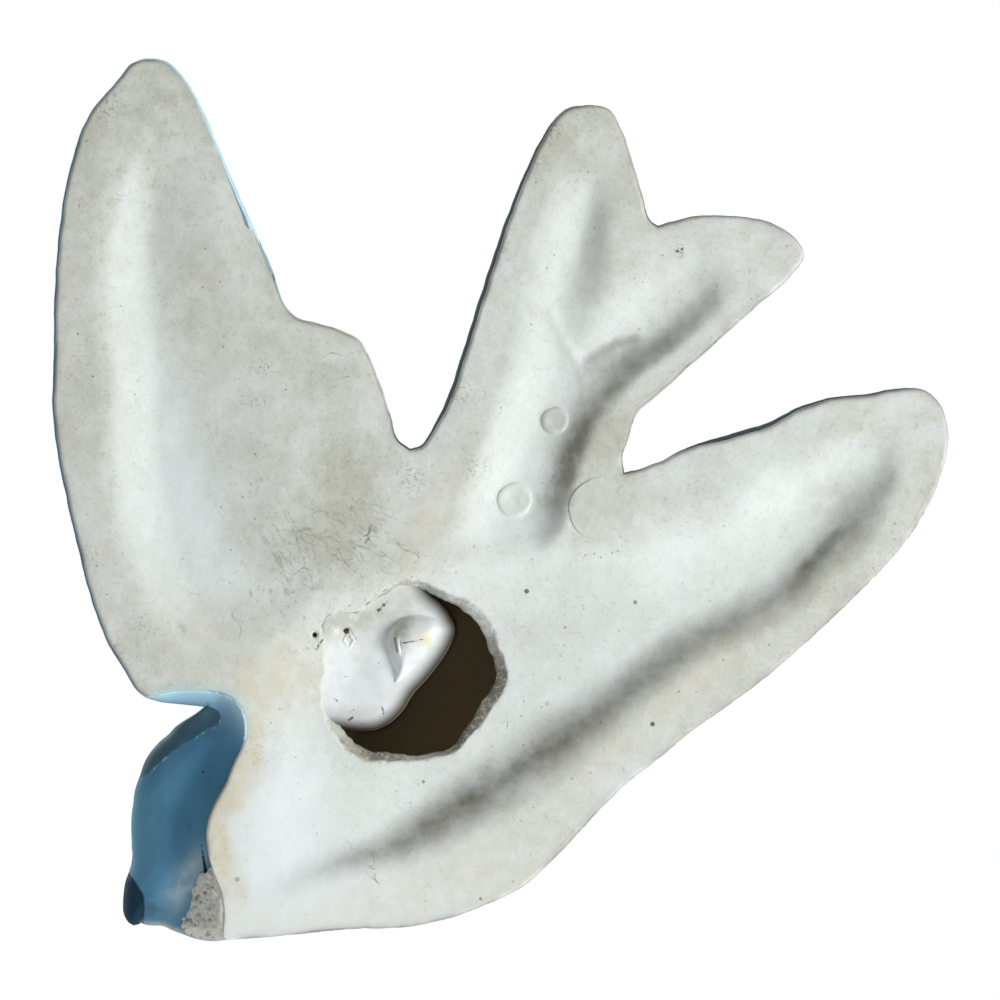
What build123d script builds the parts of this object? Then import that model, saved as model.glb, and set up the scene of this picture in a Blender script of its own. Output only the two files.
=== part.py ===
from build123d import *
from math import cos, hypot, radians, sin, sqrt
import os

# Hollow plaster wall plaque in the shape of a flying bird with a forked tail. Its raw back lies on the wall.
# Millimetres. X runs right and Z up as the back is seen, and +Y runs from the wall to the painted face.
# The origin is the middle of the ragged hanging hole, on the plane of the wall.

# Limbs: each has a root, the heading of its axis in the plan, a length and a width.
left_wing_root = (-45.0, 20.0)
left_wing_heading = 101.3
left_wing_length = 157.7
left_wing_width = 40.0
right_wing_root = (45.0, -5.0)
right_wing_heading = 34.1
right_wing_length = 130.2
right_wing_width = 30.0
breast_length = 130.2
tail_root = (28.0, 45.0)
left_prong_heading = 78.3
left_prong_length = 118.8
right_prong_heading = 41.5
right_prong_length = 111.7
prong_width = 25.0

# Thicknesses, from the wall outwards, and how far each layer stands in from the painted edge.
back_thickness = 9.0
lute_thickness = 0.8
front_edge = 3.5
edge_step = 1.6
lute_step = 2.4

# Depths of the hollows in the raw back, and heights of the ridges on the painted face.
wing_hollow = 5.6
wing_fade = 3.4
breast_hollow = 6.0
hole_hollow = 5.2
tail_hollow = 5.0
prong_hollow = 4.2
left_wing_ridge = 9.0
right_wing_ridge = 8.0
prong_ridge = 5.0

# Body: the front of a spheroid centred a little behind the seam, hollowed to an even wall, with a shoulder
# left standing inside.
body_centre = (3.0, -11.0)
body_heading = 45.0
body_half_length = 77.0
body_half_width = 46.0
body_sink = 4.0
body_wall = 8.0
shoulder_round = 4.0
shoulder_gap = 0.1
recess_shares = (-0.015, 0.344)
recess_radius = 6.8
recess_point_shares = (-0.192, -0.100)
recess_point_radius = 0.8
recess_depth = 3.0

# Head, cut from a spheroid by its own outline, and the beak.
head_shares = (-0.848, 0.923)
head_heading = 262.0
head_half_length = 38.0
head_half_width = 21.0
head_setback = 0.6
beak_shares = (0.453, -0.534)
beak_heading = 243.0
beak_length = 11.5
beak_root_radius = 6.8
beak_tip_radius = 2.2

# Hanging hole; what lies beside it or shows through it is placed by shares of its half sizes.
hole_half_width = 26.0
hole_half_height = 25.0

# Plugs, patch, wire and throat fill.
socket_clearance = 0.15
plug_proud = 0.6
plug_bevel = 0.5
lower_plug_shares = (0.032, -0.014)
lower_plug_radius = 5.6
upper_plug_shares = (0.239, -0.279)
upper_plug_radius = 4.6
patch_shares = (0.180, -0.660)
patch_radius = 9.2
patch_depth = 5.0
wire_radius = 1.0
wire_clearance = 0.1
wire_bend = 2.5
wire_depth = 15.0
wire_recess = 0.6
wire_end_shares = ((-1.077, 0.380), (-0.731, 0.440))
fill_width = 12.0
fill_height = 20.0
fill_face = 2.5
fill_slope = 40.0
fill_depth = 22.0

seam_y = back_thickness + lute_thickness
face_y = seam_y + front_edge
head_y = seam_y + head_setback + head_half_width
shoulder_y = back_thickness + shoulder_gap
fill_lean = Vector(-sin(radians(fill_slope)), -cos(radians(fill_slope)), 0.0)


class Limb:
    """A limb's own axes in the plan: shares of its length from its root, shares of its width to its left."""

    def __init__(self, root, heading, length, width, rear_length):
        self.root = root
        self.heading = heading
        self.length = length
        self.width = width
        self.rear_length = rear_length

    def point(self, along, across):
        """Plan point at these shares; what lies behind the root is a share of the rear length."""
        reach = along * (self.length if along > 0 else self.rear_length)
        side = across * self.width
        run, rise = cos(radians(self.heading)), sin(radians(self.heading))
        return (self.root[0] + reach * run - side * rise, self.root[1] + reach * rise + side * run)


def hole_place(across, up):
    """Plan point at these shares of the hanging hole's half width and half height."""
    return (across * hole_half_width, up * hole_half_height)


left_wing = Limb(left_wing_root, left_wing_heading, left_wing_length, left_wing_width, left_wing_length)
right_wing = Limb(right_wing_root, right_wing_heading, right_wing_length, right_wing_width, breast_length)
left_prong = Limb(tail_root, left_prong_heading, left_prong_length, prong_width, left_prong_length)
right_prong = Limb(tail_root, right_prong_heading, right_prong_length, prong_width, right_prong_length)
body_frame = Limb(body_centre, body_heading, body_half_length, body_half_width, body_half_length)
head_centre = right_wing.point(*head_shares)
head_frame = Limb(head_centre, head_heading, head_half_length, head_half_width, head_half_length)
beak_root = head_frame.point(*beak_shares)
lower_plug_at = left_prong.point(*lower_plug_shares)
upper_plug_at = left_prong.point(*upper_plug_shares)
patch_at = right_prong.point(*patch_shares)

# Edges of the plan in order round the bird, as shares of each limb, with the notches between the limbs.
left_wing_edge = [
    (-0.140, 0.875), (-0.078, 1.018), (0.052, 1.145), (0.235, 1.179), (0.414, 1.151), (0.631, 0.962),
    (0.813, 0.729), (0.926, 0.466), (0.975, 0.224), (1.000, 0.000), (0.980, -0.163), (0.897, -0.301),
    (0.724, -0.445), (0.569, -0.577), (0.489, -0.667), (0.445, -0.989), (0.409, -1.114), (0.282, -1.204),
    (0.232, -1.216),
]
left_prong_edge = [
    (0.146, 1.083), (0.237, 0.968), (0.370, 0.893), (0.537, 0.812), (0.691, 0.718), (0.880, 0.535),
    (0.977, 0.305), (1.000, 0.000), (0.953, -0.353), (0.806, -0.741), (0.753, -0.896),
]
right_prong_edge = [
    (0.809, 1.251), (0.917, 0.890), (0.976, 0.586), (1.009, 0.206), (1.000, 0.000), (0.940, -0.082),
    (0.724, -0.084), (0.483, -0.094), (0.412, -0.110), (0.347, -0.250), (0.300, -0.385),
]
right_wing_edge = [
    (0.373, 1.380), (0.496, 1.273), (0.636, 1.102), (0.759, 0.999), (0.903, 0.735), (1.010, 0.467),
    (1.000, 0.000), (0.929, -0.316), (0.781, -0.644), (0.564, -0.844), (0.361, -0.959), (0.171, -0.985),
    (-0.025, -1.053), (-0.133, -1.151), (-0.243, -1.259), (-0.343, -1.307), (-0.506, -1.162),
    (-0.711, -0.690), (-0.812, -0.451),
]
neck_edge = [(-0.864, 0.646), (-0.800, 0.983), (-0.729, 1.155), (-0.662, 1.381), (-0.646, 1.596)]
neck_notch = left_wing.point(-0.177, 0.470)
wing_tail_notch = left_prong.point(0.098, 1.260)
fork_notch = left_prong.point(0.740, -0.960)
tail_wing_notch = right_prong.point(0.283, -0.520)
throat = right_wing.point(-0.956, -0.096)
plan_runs = [
    [neck_notch] + [left_wing.point(*share) for share in left_wing_edge],
    [wing_tail_notch] + [left_prong.point(*share) for share in left_prong_edge],
    [fork_notch] + [right_prong.point(*share) for share in right_prong_edge],
    [tail_wing_notch] + [right_wing.point(*share) for share in right_wing_edge],
    [throat] + [right_wing.point(*share) for share in neck_edge],
]

# Outlines beside the main plan: the head, the ragged hole, the shoulder inside the body and the throat fill.
head_edge = [
    (-0.995, 0.324), (-0.875, -0.030), (-0.715, -0.374), (-0.490, -0.700), (-0.198, -0.868), (0.094, -0.866),
    (0.300, -0.789), (0.591, -0.763), (0.779, -0.547), (0.789, -0.232), (0.853, 0.410), (0.671, 0.940),
    (-0.140, 1.120), (-0.836, 0.845),
]
hole_edge = [
    (0.00, 1.02), (0.38, 0.84), (0.77, 0.58), (1.00, 0.00), (0.85, -0.44), (0.42, -0.96), (0.00, -0.96),
    (-0.31, -1.00), (-0.62, -0.90), (-0.98, -0.36), (-1.04, 0.60), (-0.58, 0.66), (-0.31, 0.88),
]
shoulder_edge = [
    (-0.231, 1.600), (0.154, 0.960), (0.365, 0.660), (0.423, 0.440), (0.308, 0.200), (0.115, -0.080),
    (-0.077, -0.360), (-0.231, -0.560), (-0.462, -0.672), (-0.808, -0.700), (-1.308, -0.480),
    (-1.769, 0.320), (-1.308, 1.520),
]
fill_edge = [
    (-0.38, 0.98), (-0.04, 1.00), (0.21, 0.66), (0.21, 0.21), (-0.04, 0.03), (-0.46, 0.09), (-0.79, 0.16),
    (-0.67, 0.56),
]
head_points = [head_frame.point(*share) for share in head_edge]
hole_points = [hole_place(*share) for share in hole_edge]
shoulder_points = [hole_place(*share) for share in shoulder_edge]
wire_ends = [hole_place(*share) for share in wire_end_shares]
fill_points = [(throat[0] + share * fill_width, throat[1] + rise * fill_height) for share, rise in fill_edge]


class Cap:
    """A shallow oval dish or swelling on a limb, cut from a spheroid whose long axis lies in the plan."""

    def __init__(self, limb, place, turn, rise, length_share, width_share):
        half_width = width_share * limb.width
        self.centre = limb.point(*place)
        self.heading = limb.heading + turn
        self.rise = rise
        self.radius = (half_width**2 + rise**2) / (2.0 * rise)
        self.half_length = length_share * limb.length * self.radius / half_width

    def depth_at(self, point):
        """How deep the dish is at a plan point, or 0 outside it."""
        right, up = point[0] - self.centre[0], point[1] - self.centre[1]
        along = right * cos(radians(self.heading)) + up * sin(radians(self.heading))
        across = up * cos(radians(self.heading)) - right * sin(radians(self.heading))
        inside = 1.0 - (along / self.half_length) ** 2 - (across / self.radius) ** 2
        return max(0.0, self.rise - self.radius + self.radius * sqrt(max(0.0, inside)))


# Each dish and ridge: its limb, its place and its turn there, its depth or height, and its two half spans as
# shares of the limb's length and width.
hollows = [
    Cap(left_wing, (0.50, 0.50), -4.0, wing_hollow, 0.36, 0.35),
    Cap(left_wing, (0.36, 0.15), 0.0, wing_fade, 0.38, 0.60),
    Cap(left_wing, (0.17, 0.25), 36.0, wing_fade, 0.25, 0.65),
    Cap(right_wing, (0.48, 0.02), 4.0, wing_hollow, 0.44, 0.53),
    Cap(right_wing, (0.36, 0.30), 2.0, wing_fade, 0.46, 0.87),
    Cap(right_wing, (-0.31, 0.30), -3.0, breast_hollow, 0.49, 0.87),
    Cap(body_frame, (0.02, 0.37), 0.0, hole_hollow, 0.62, 0.74),
    Cap(left_prong, (0.18, 0.02), -10.0, tail_hollow, 0.39, 0.52),
    Cap(left_prong, (0.64, 0.00), -3.0, prong_hollow, 0.34, 0.38),
    Cap(right_prong, (0.60, 0.62), 1.0, prong_hollow, 0.34, 0.34),
]
ridges = [
    Cap(left_wing, (0.37, 0.32), 0.0, left_wing_ridge, 0.53, 0.70),
    Cap(right_wing, (0.42, 0.10), 0.0, right_wing_ridge, 0.54, 0.90),
    Cap(left_prong, (0.45, 0.12), 0.0, prong_ridge, 0.49, 0.60),
    Cap(right_prong, (0.52, 0.45), 0.0, prong_ridge, 0.41, 0.48),
]


def level(y):
    """Plane of the plan at depth y; its normal points back at the wall."""
    return Plane.XZ.offset(-y)


def in_plan(heading):
    """Direction in the plan at this heading."""
    return Vector(cos(radians(heading)), 0.0, sin(radians(heading)))


def at_depth(point, y):
    """A plan point as a point in space."""
    return (point[0], y, point[1])


def drawn_in(runs, inset):
    """The plan's runs with every point moved inwards, square to the line between its neighbours."""
    ring = [point for run in runs for point in run]
    moved = []
    for i, (x, z) in enumerate(ring):
        before, after = ring[i - 1], ring[(i + 1) % len(ring)]
        right, up = after[0] - before[0], after[1] - before[1]
        span = hypot(right, up)
        moved.append((x + inset * up / span, z - inset * right / span))
    starts = [sum(len(run) for run in runs[:i]) for i in range(len(runs))]
    return [moved[start:start + len(run)] for start, run in zip(starts, runs)]


def plan_face(y, inset):
    """The bird's plan without its head, at depth y, drawn in from the painted edge by an inset."""
    runs = drawn_in(plan_runs, inset)
    with BuildSketch(level(y)) as plan:
        with BuildLine():
            for i, run in enumerate(runs):
                Spline(*run, runs[(i + 1) % len(runs)][0])
        make_face()
    return plan.sketch


def closed_face(y, points):
    """A face at depth y inside a smooth closed curve through the points."""
    with BuildSketch(level(y)) as shape:
        with BuildLine():
            Spline(*points, periodic=True)
        make_face()
    return shape.sketch


def spheroid(centre, y, heading, half_length, half_width):
    """An ellipse turned about its long axis, which lies in the plan; the turn starts on the wall's side."""
    middle = Vector(centre[0], y, centre[1])
    beside = Vector(sin(radians(heading)), 0.0, -cos(radians(heading)))
    with BuildPart() as form:
        with BuildSketch(Plane(middle, x_dir=in_plan(heading), z_dir=beside)):
            Ellipse(half_length, half_width)
            Rectangle(3.0 * half_length, half_width, align=(Align.CENTER, Align.MAX), mode=Mode.SUBTRACT)
        revolve(axis=Axis(middle, in_plan(heading)))
    return form.part


def dish(cap):
    """The spheroid that scoops a hollow out of the raw back."""
    return spheroid(cap.centre, cap.rise - cap.radius, cap.heading, cap.half_length, cap.radius)


def swelling(cap):
    """The part of a ridge's spheroid that stands out of the painted face."""
    form = spheroid(cap.centre, face_y + cap.rise - cap.radius, cap.heading, cap.half_length, cap.radius)
    return split(form, bisect_by=level(face_y), keep=Keep.BOTTOM)


def floor_at(point):
    """Depth of the raw back at one plan point."""
    return max(hollow.depth_at(point) for hollow in hollows)


def staple(radius):
    """The wire's round section carried down one leg, along the bar and up the other leg."""
    starts = [at_depth(end, floor_at(end) + wire_recess) for end in wire_ends]
    corners = [at_depth(end, wire_depth) for end in wire_ends]
    with BuildPart() as bent:
        with BuildLine() as path:
            FilletPolyline(starts[0], corners[0], corners[1], starts[1], radius=wire_bend)
        with BuildSketch(Plane(starts[0], z_dir=(0.0, 1.0, 0.0))):
            Circle(radius)
        sweep(path=path.line)
    return bent.part


def body_form(wall):
    """The body's spheroid, smaller all round by a wall."""
    middle_y = seam_y - body_sink
    return spheroid(body_centre, middle_y, body_heading, body_half_length - wall, body_half_width - wall)


# Head: its outline carried through a spheroid that rounds it front and back, with the beak at its tip.
with BuildPart() as head:
    extrude(closed_face(head_y, head_points), amount=head_half_width, both=True)
    add(spheroid(head_centre, head_y, head_heading, head_half_length, head_half_width), mode=Mode.INTERSECT)
    with Locations(Plane(at_depth(beak_root, head_y), z_dir=in_plan(beak_heading))):
        Cone(beak_root_radius, beak_tip_radius, beak_length, align=(Align.CENTER, Align.CENTER, Align.MIN))

# Body forms that several pieces share: the whole spheroid, its front half and its hollow.
whole_body = body_form(0.0)
half_body = split(whole_body, bisect_by=level(seam_y), keep=Keep.BOTTOM)
inner_body = body_form(body_wall)
ridge_forms = [swelling(ridge) for ridge in ridges]
dishes = [dish(hollow) for hollow in hollows]
wire_socket = staple(wire_radius + wire_clearance)

# Shoulder inside the body: a rounded block that rises from the inner wall to just under the raw back.
with BuildPart() as shoulder:
    extrude(closed_face(shoulder_y, shoulder_points), amount=-body_half_width)
    fillet(shoulder.faces().sort_by(Axis.Y)[0].edges(), radius=shoulder_round)
    with BuildSketch(level(shoulder_y)):
        with Locations(hole_place(*recess_shares)):
            Circle(recess_radius)
        with Locations(hole_place(*recess_point_shares)):
            Circle(recess_point_radius)
        make_hull()
    extrude(amount=-recess_depth, mode=Mode.SUBTRACT)
    add(whole_body, mode=Mode.INTERSECT)

# Front casting: the painted plate with its ridges, the body and the head, hollowed behind the body.
with BuildPart() as front_casting:
    extrude(plan_face(seam_y, 0.0), amount=-front_edge)
    for ridge_form in ridge_forms:
        add(ridge_form)
    add(half_body)
    add(head.part)
    add(inner_body, mode=Mode.SUBTRACT)
    add(shoulder.part)
    add(wire_socket, mode=Mode.SUBTRACT)

# Back casting: a plate with the hollows, the hanging hole and the sockets cut into it.
with BuildPart() as back_casting:
    extrude(plan_face(0.0, edge_step), amount=-back_thickness)
    add(dishes, mode=Mode.SUBTRACT)
    extrude(closed_face(0.0, hole_points), amount=-back_thickness, mode=Mode.SUBTRACT)
    with BuildSketch(level(0.0)):
        with Locations(lower_plug_at):
            Circle(lower_plug_radius + socket_clearance)
        with Locations(upper_plug_at):
            Circle(upper_plug_radius + socket_clearance)
        with Locations(*wire_ends):
            Circle(wire_radius + wire_clearance)
    extrude(amount=-back_thickness, mode=Mode.SUBTRACT)
    with BuildSketch(level(0.0)):
        with Locations(patch_at):
            Circle(patch_radius + socket_clearance)
    extrude(amount=-patch_depth, mode=Mode.SUBTRACT)

# Seam lute: the thin bed of plaster between the castings, open where the body is hollow.
with BuildPart() as seam_lute:
    extrude(plan_face(back_thickness, lute_step), amount=-lute_thickness)
    with BuildSketch(level(back_thickness)):
        with Locations(Location(body_centre, body_heading)):
            Ellipse(body_half_length - body_wall, body_half_width - body_wall)
    extrude(amount=-lute_thickness, mode=Mode.SUBTRACT)
    add(shoulder.part, mode=Mode.SUBTRACT)
    add(wire_socket, mode=Mode.SUBTRACT)

# Tail plugs: round plugs that stand a little proud of the tail's hollow and rest on the lute.
with BuildPart() as tail_plug_lower:
    with BuildSketch(level(back_thickness)):
        with Locations(lower_plug_at):
            Circle(lower_plug_radius)
    extrude(amount=back_thickness - floor_at(lower_plug_at) + plug_proud)
    chamfer(tail_plug_lower.faces().sort_by(Axis.Y)[0].edges(), length=plug_bevel)
with BuildPart() as tail_plug_upper:
    with BuildSketch(level(back_thickness)):
        with Locations(upper_plug_at):
            Circle(upper_plug_radius)
    extrude(amount=back_thickness - floor_at(upper_plug_at) + plug_proud)
    chamfer(tail_plug_upper.faces().sort_by(Axis.Y)[0].edges(), length=plug_bevel)

# Root patch: a flush round patch in a blind socket beside the root of the tail.
with BuildPart() as root_patch:
    with BuildSketch(level(0.0)):
        with Locations(patch_at):
            Circle(patch_radius)
    extrude(amount=-patch_depth)
    add(dishes, mode=Mode.SUBTRACT)

# Hanger wire: the staple that is left in the plaster, its two ends just inside the raw back.
with BuildPart() as hanger_wire:
    add(staple(wire_radius))

# Throat fill: coarse plaster pressed into the open seam between the head and the edge of the back.
with BuildPart() as throat_fill:
    extrude(closed_face(fill_face, fill_points), amount=-(fill_depth - fill_face))
    split(bisect_by=Plane(at_depth(fill_points[2], fill_face), z_dir=fill_lean), keep=Keep.BOTTOM)
    add(front_casting.part, mode=Mode.SUBTRACT)
    add(seam_lute.part, mode=Mode.SUBTRACT)
    add(back_casting.part, mode=Mode.SUBTRACT)

os.makedirs("parts", exist_ok=True)
pieces = {
    "front_casting": front_casting,
    "back_casting": back_casting,
    "seam_lute": seam_lute,
    "tail_plug_lower": tail_plug_lower,
    "tail_plug_upper": tail_plug_upper,
    "root_patch": root_patch,
    "hanger_wire": hanger_wire,
    "throat_fill": throat_fill,
}
for name, piece in pieces.items():
    piece.part.label = name
    export_step(piece.part, f"parts/{name}.step")
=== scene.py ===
import bpy
import numpy as np
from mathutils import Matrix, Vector
from mathutils.geometry import delaunay_2d_cdt


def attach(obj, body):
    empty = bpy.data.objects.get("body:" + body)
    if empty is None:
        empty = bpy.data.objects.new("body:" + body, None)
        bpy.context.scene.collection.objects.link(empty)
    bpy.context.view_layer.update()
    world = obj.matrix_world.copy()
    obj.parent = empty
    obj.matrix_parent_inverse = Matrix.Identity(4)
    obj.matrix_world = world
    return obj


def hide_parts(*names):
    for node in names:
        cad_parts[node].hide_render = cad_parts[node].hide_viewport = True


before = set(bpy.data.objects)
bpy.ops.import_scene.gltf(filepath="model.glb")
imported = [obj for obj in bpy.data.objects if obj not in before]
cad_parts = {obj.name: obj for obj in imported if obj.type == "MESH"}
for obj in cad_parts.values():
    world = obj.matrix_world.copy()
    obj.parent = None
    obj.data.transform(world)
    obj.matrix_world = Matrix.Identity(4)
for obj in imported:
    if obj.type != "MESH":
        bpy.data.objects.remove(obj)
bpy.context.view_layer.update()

# Raw back: the unpainted skin of cast plaster that lies against the wall, dished along wings, breast and
# tail. Poured by hand, trimmed with a knife, then rubbed, scratched and soiled on its high places.
# In mm, a limb is (root, heading in degrees, length, width), and a round pad is (x, z, radius).
LEFT_WING = ((-45.0, 20.0), 101.3, 157.7, 40.0)
RIGHT_WING = ((45.0, -5.0), 34.1, 130.2, 30.0)
LEFT_PRONG = ((28.0, 45.0), 78.3, 118.8, 25.0)
RIGHT_PRONG = ((28.0, 45.0), 41.5, 111.7, 25.0)
LOWER_PLUG = (29.1, 48.6, 5.6)
UPPER_PLUG = (40.6, 71.4, 4.6)
PATCH = (54.0, 46.0, 9.2)
WIRE_HOLES = ((-28.1, 10.0), (-19.2, 11.2))
BACK_UNDERSIDE = 9.0
NECK_CORNERS = ((-78.2, -6.2), (-53.4, -77.0))
PLAN_BOX = (-105.0, -80.0, 155.0, 177.0)
OUTLINE_STEP = 1.1
HOLE_STEP = 0.8
EDGE_RINGS = (0.25, 0.6, 1.1, 1.8)
EDGE_WALL = ((0.35, 0.12), (0.7, 0.2), (1.0, 0.2))
HOLE_WALL = (0.12, 0.3, 0.5, 0.7, 0.88, 1.0)
STRANDS = 46
STRAND_POINTS = 13
EVEN_FILM = 0.376
HANDLED_SHARE = 0.787
WASHED_SHARE = 0.92

# The silhouette clockwise as (x, z), limb by limb, then the back's own edge at the neck and the hole's edge.
left_wing_run = [
    (-58.8, -10.4), (-63.2, -10.0), (-68.7, -9.4), (-73.6, -8.6), (-77.5, -7.0), (-82.5, 0.0), (-87.5, 8.5),
    (-91.5, 19.0), (-95.2, 33.0), (-98.5, 47.0), (-101.5, 62.0), (-103.0, 75.0), (-102.7, 86.0),
    (-102.5, 98.0), (-102.3, 110.0), (-101.0, 125.0), (-98.8, 140.0), (-97.0, 147.0), (-95.0, 153.5),
    (-92.0, 159.5), (-88.0, 164.5), (-84.0, 169.0), (-80.0, 173.5), (-76.0, 174.6), (-71.0, 173.8),
    (-65.0, 167.8), (-61.0, 161.0), (-56.5, 150.5), (-50.0, 135.5), (-44.0, 122.0), (-40.0, 112.5),
    (-37.5, 105.0), (-34.0, 100.8), (-28.0, 99.0), (-20.0, 96.5), (-15.5, 94.0), (-12.5, 88.5),
    (-10.0, 82.5), (-6.8, 72.5), (-4.5, 65.5),
]
left_prong_run = [
    (-1.0, 63.0), (3.0, 64.3), (5.0, 67.5), (10.0, 77.5), (15.0, 92.5), (21.0, 111.5), (27.0, 129.0),
    (32.0, 141.5), (36.0, 150.0), (40.0, 156.5), (44.0, 160.2), (50.0, 161.3), (56.0, 160.0), (59.5, 154.0),
    (62.5, 145.0), (65.5, 135.0), (67.6, 128.6),
]
right_prong_run = [
    (70.0, 126.8), (75.0, 128.3), (80.0, 129.5), (90.0, 129.7), (100.0, 128.4), (105.0, 126.4),
    (109.0, 123.5), (111.7, 119.0), (108.0, 113.0), (100.0, 105.8), (90.0, 97.0), (80.0, 88.0), (70.0, 79.0),
    (64.0, 73.7), (61.2, 66.0), (59.5, 60.0),
]
right_wing_run = [
    (60.3, 56.2), (65.0, 57.3), (70.0, 59.0), (77.0, 62.7), (85.0, 65.5), (95.0, 68.4), (103.0, 71.0),
    (110.0, 74.7), (120.0, 77.6), (130.0, 78.6), (139.0, 80.2), (146.0, 79.8), (150.0, 76.7), (152.5, 70.0),
    (152.8, 65.0), (150.5, 55.0), (146.0, 45.0), (140.0, 36.0), (130.0, 25.0), (120.0, 15.2), (110.0, 6.0),
    (100.0, -2.5), (90.0, -10.0), (80.0, -17.0), (70.0, -25.2), (60.0, -33.0), (50.0, -43.3), (40.0, -54.0),
    (30.0, -62.5), (20.0, -67.2), (10.0, -70.8), (0.0, -73.0), (-20.0, -74.0), (-35.0, -75.5),
    (-50.0, -76.8), (-58.0, -77.4), (-64.8, -75.9), (-68.1, -74.5), (-71.9, -72.9), (-75.8, -72.6),
]
head_run = [
    (-78.2, -71.8), (-80.1, -72.7), (-82.3, -70.4), (-82.6, -67.1), (-82.1, -61.6), (-80.9, -57.8),
    (-80.1, -53.5), (-80.4, -48.5), (-80.4, -42.5), (-79.9, -37.6), (-78.5, -32.1), (-76.3, -26.1),
    (-73.6, -22.3), (-70.3, -19.0), (-66.5, -15.7), (-62.1, -12.7),
]
neck_run = [
    (-54.3, -76.6), (-53.9, -69.8), (-54.6, -63.8), (-56.8, -58.2), (-58.6, -52.0), (-59.0, -46.3),
    (-58.3, -42.5), (-56.6, -38.1), (-53.3, -32.1), (-51.2, -26.7), (-49.0, -22.3), (-48.2, -19.0),
    (-48.2, -15.2), (-49.0, -11.9), (-51.2, -8.6), (-54.5, -6.6), (-61.0, -5.9), (-67.6, -6.0),
    (-73.0, -7.0), (-76.6, -7.2),
]
hole_outer = [
    (1.1, 25.7), (5.1, 24.2), (8.6, 22.5), (13.8, 20.7), (17.8, 17.9), (21.3, 14.4), (23.0, 10.9),
    (24.3, 6.9), (26.1, 2.6), (26.7, -1.8), (25.7, -6.2), (22.6, -10.5), (20.0, -14.9), (16.5, -18.4),
    (13.8, -21.7), (10.3, -24.3), (6.8, -25.0), (2.5, -25.9), (-2.8, -26.3), (-8.9, -26.5), (-14.6, -25.9),
    (-18.1, -23.7), (-21.6, -19.7), (-24.7, -14.9), (-25.7, -10.5), (-26.0, -5.7), (-25.2, 0.8),
    (-25.2, 5.0), (-25.6, 9.5), (-25.6, 13.2), (-24.2, 15.4), (-20.7, 16.3), (-15.3, 16.3), (-12.4, 19.0),
    (-8.9, 22.0), (-4.5, 24.9),
]
# How far the hole narrows to its inner end, as (share of the way around, mm).
hole_inner_gap = [
    (0.0, 2.2), (0.06, 2.3), (0.10, 3.0), (0.20, 2.9), (0.30, 3.3), (0.36, 2.3), (0.42, 1.4), (0.47, 1.6),
    (0.52, 2.9), (0.56, 3.3), (0.62, 2.8), (0.67, 2.5), (0.72, 1.6), (0.77, 0.5), (0.90, 0.5), (0.95, 1.6),
    (1.0, 2.2),
]
# How far the rim stands out and how far the back is trimmed inside it, as (share of a limb's run, mm).
rim_fuller = {
    "left_wing": [(0.0, 0.0), (0.04, 0.1), (0.97, 0.1), (1.0, 0.0)],
    "left_prong": [(0.0, 0.0), (0.05, 0.1), (0.95, 0.1), (1.0, 0.0)],
    "right_prong": [(0.0, 0.0), (0.05, 0.0), (0.95, 0.1), (1.0, 0.0)],
    "right_wing": [(0.0, 0.0), (0.03, 0.0), (0.3, 0.1), (0.93, 0.2), (0.97, 0.5), (1.0, 0.6)],
    "head": [(0.0, 0.6), (0.3, 0.3), (0.9, 0.1), (1.0, 0.0)],
}
rim_show = {
    "left_wing": [
        (0.0, 0.4), (0.05, 0.4), (0.09, 0.5), (0.3, 0.6), (0.5, 0.6), (0.57, 0.4), (0.62, 0.4), (0.82, 0.5),
        (0.84, 0.3), (1.0, 0.4),
    ],
    "left_prong": [(0.0, 0.4), (0.06, 0.7), (0.12, 1.1), (0.45, 1.0), (0.62, 0.6), (0.70, 0.35), (1.0, 0.35)],
    "right_prong": [(0.0, 0.4), (0.2, 0.2), (0.3, 0.25), (0.38, 0.2), (1.0, 0.2)],
    "right_wing": [
        (0.0, 0.3), (0.03, 0.2), (0.055, 0.5), (0.08, 1.25), (0.10, 1.25), (0.125, 0.9), (0.16, 0.45),
        (0.2, 0.35), (0.24, 0.2), (1.0, 0.2),
    ],
}
# Folds, creases, a scratch and a chip in the back, as lines of (x, z).
tail_fold = [(39.5, 102.0), (43.0, 94.5), (46.5, 88.5), (49.0, 83.0)]
tail_crease = [(49.5, 89.0), (53.0, 91.2), (58.0, 94.0), (63.0, 95.0)]
wing_dent = [(110.0, 28.5), (114.0, 31.5), (118.0, 36.5), (121.0, 40.0)]
wing_fold = [(-55.0, 121.0), (-50.0, 108.0), (-43.5, 98.0), (-34.0, 93.0), (-16.0, 90.0)]
wire_scratch = [(-30.3, 8.8), (-28.7, 7.0), (-27.7, 5.3)]
wire_chip = [(-27.5, 5.8), (-26.9, 7.3), (-25.7, 8.8)]

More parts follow.
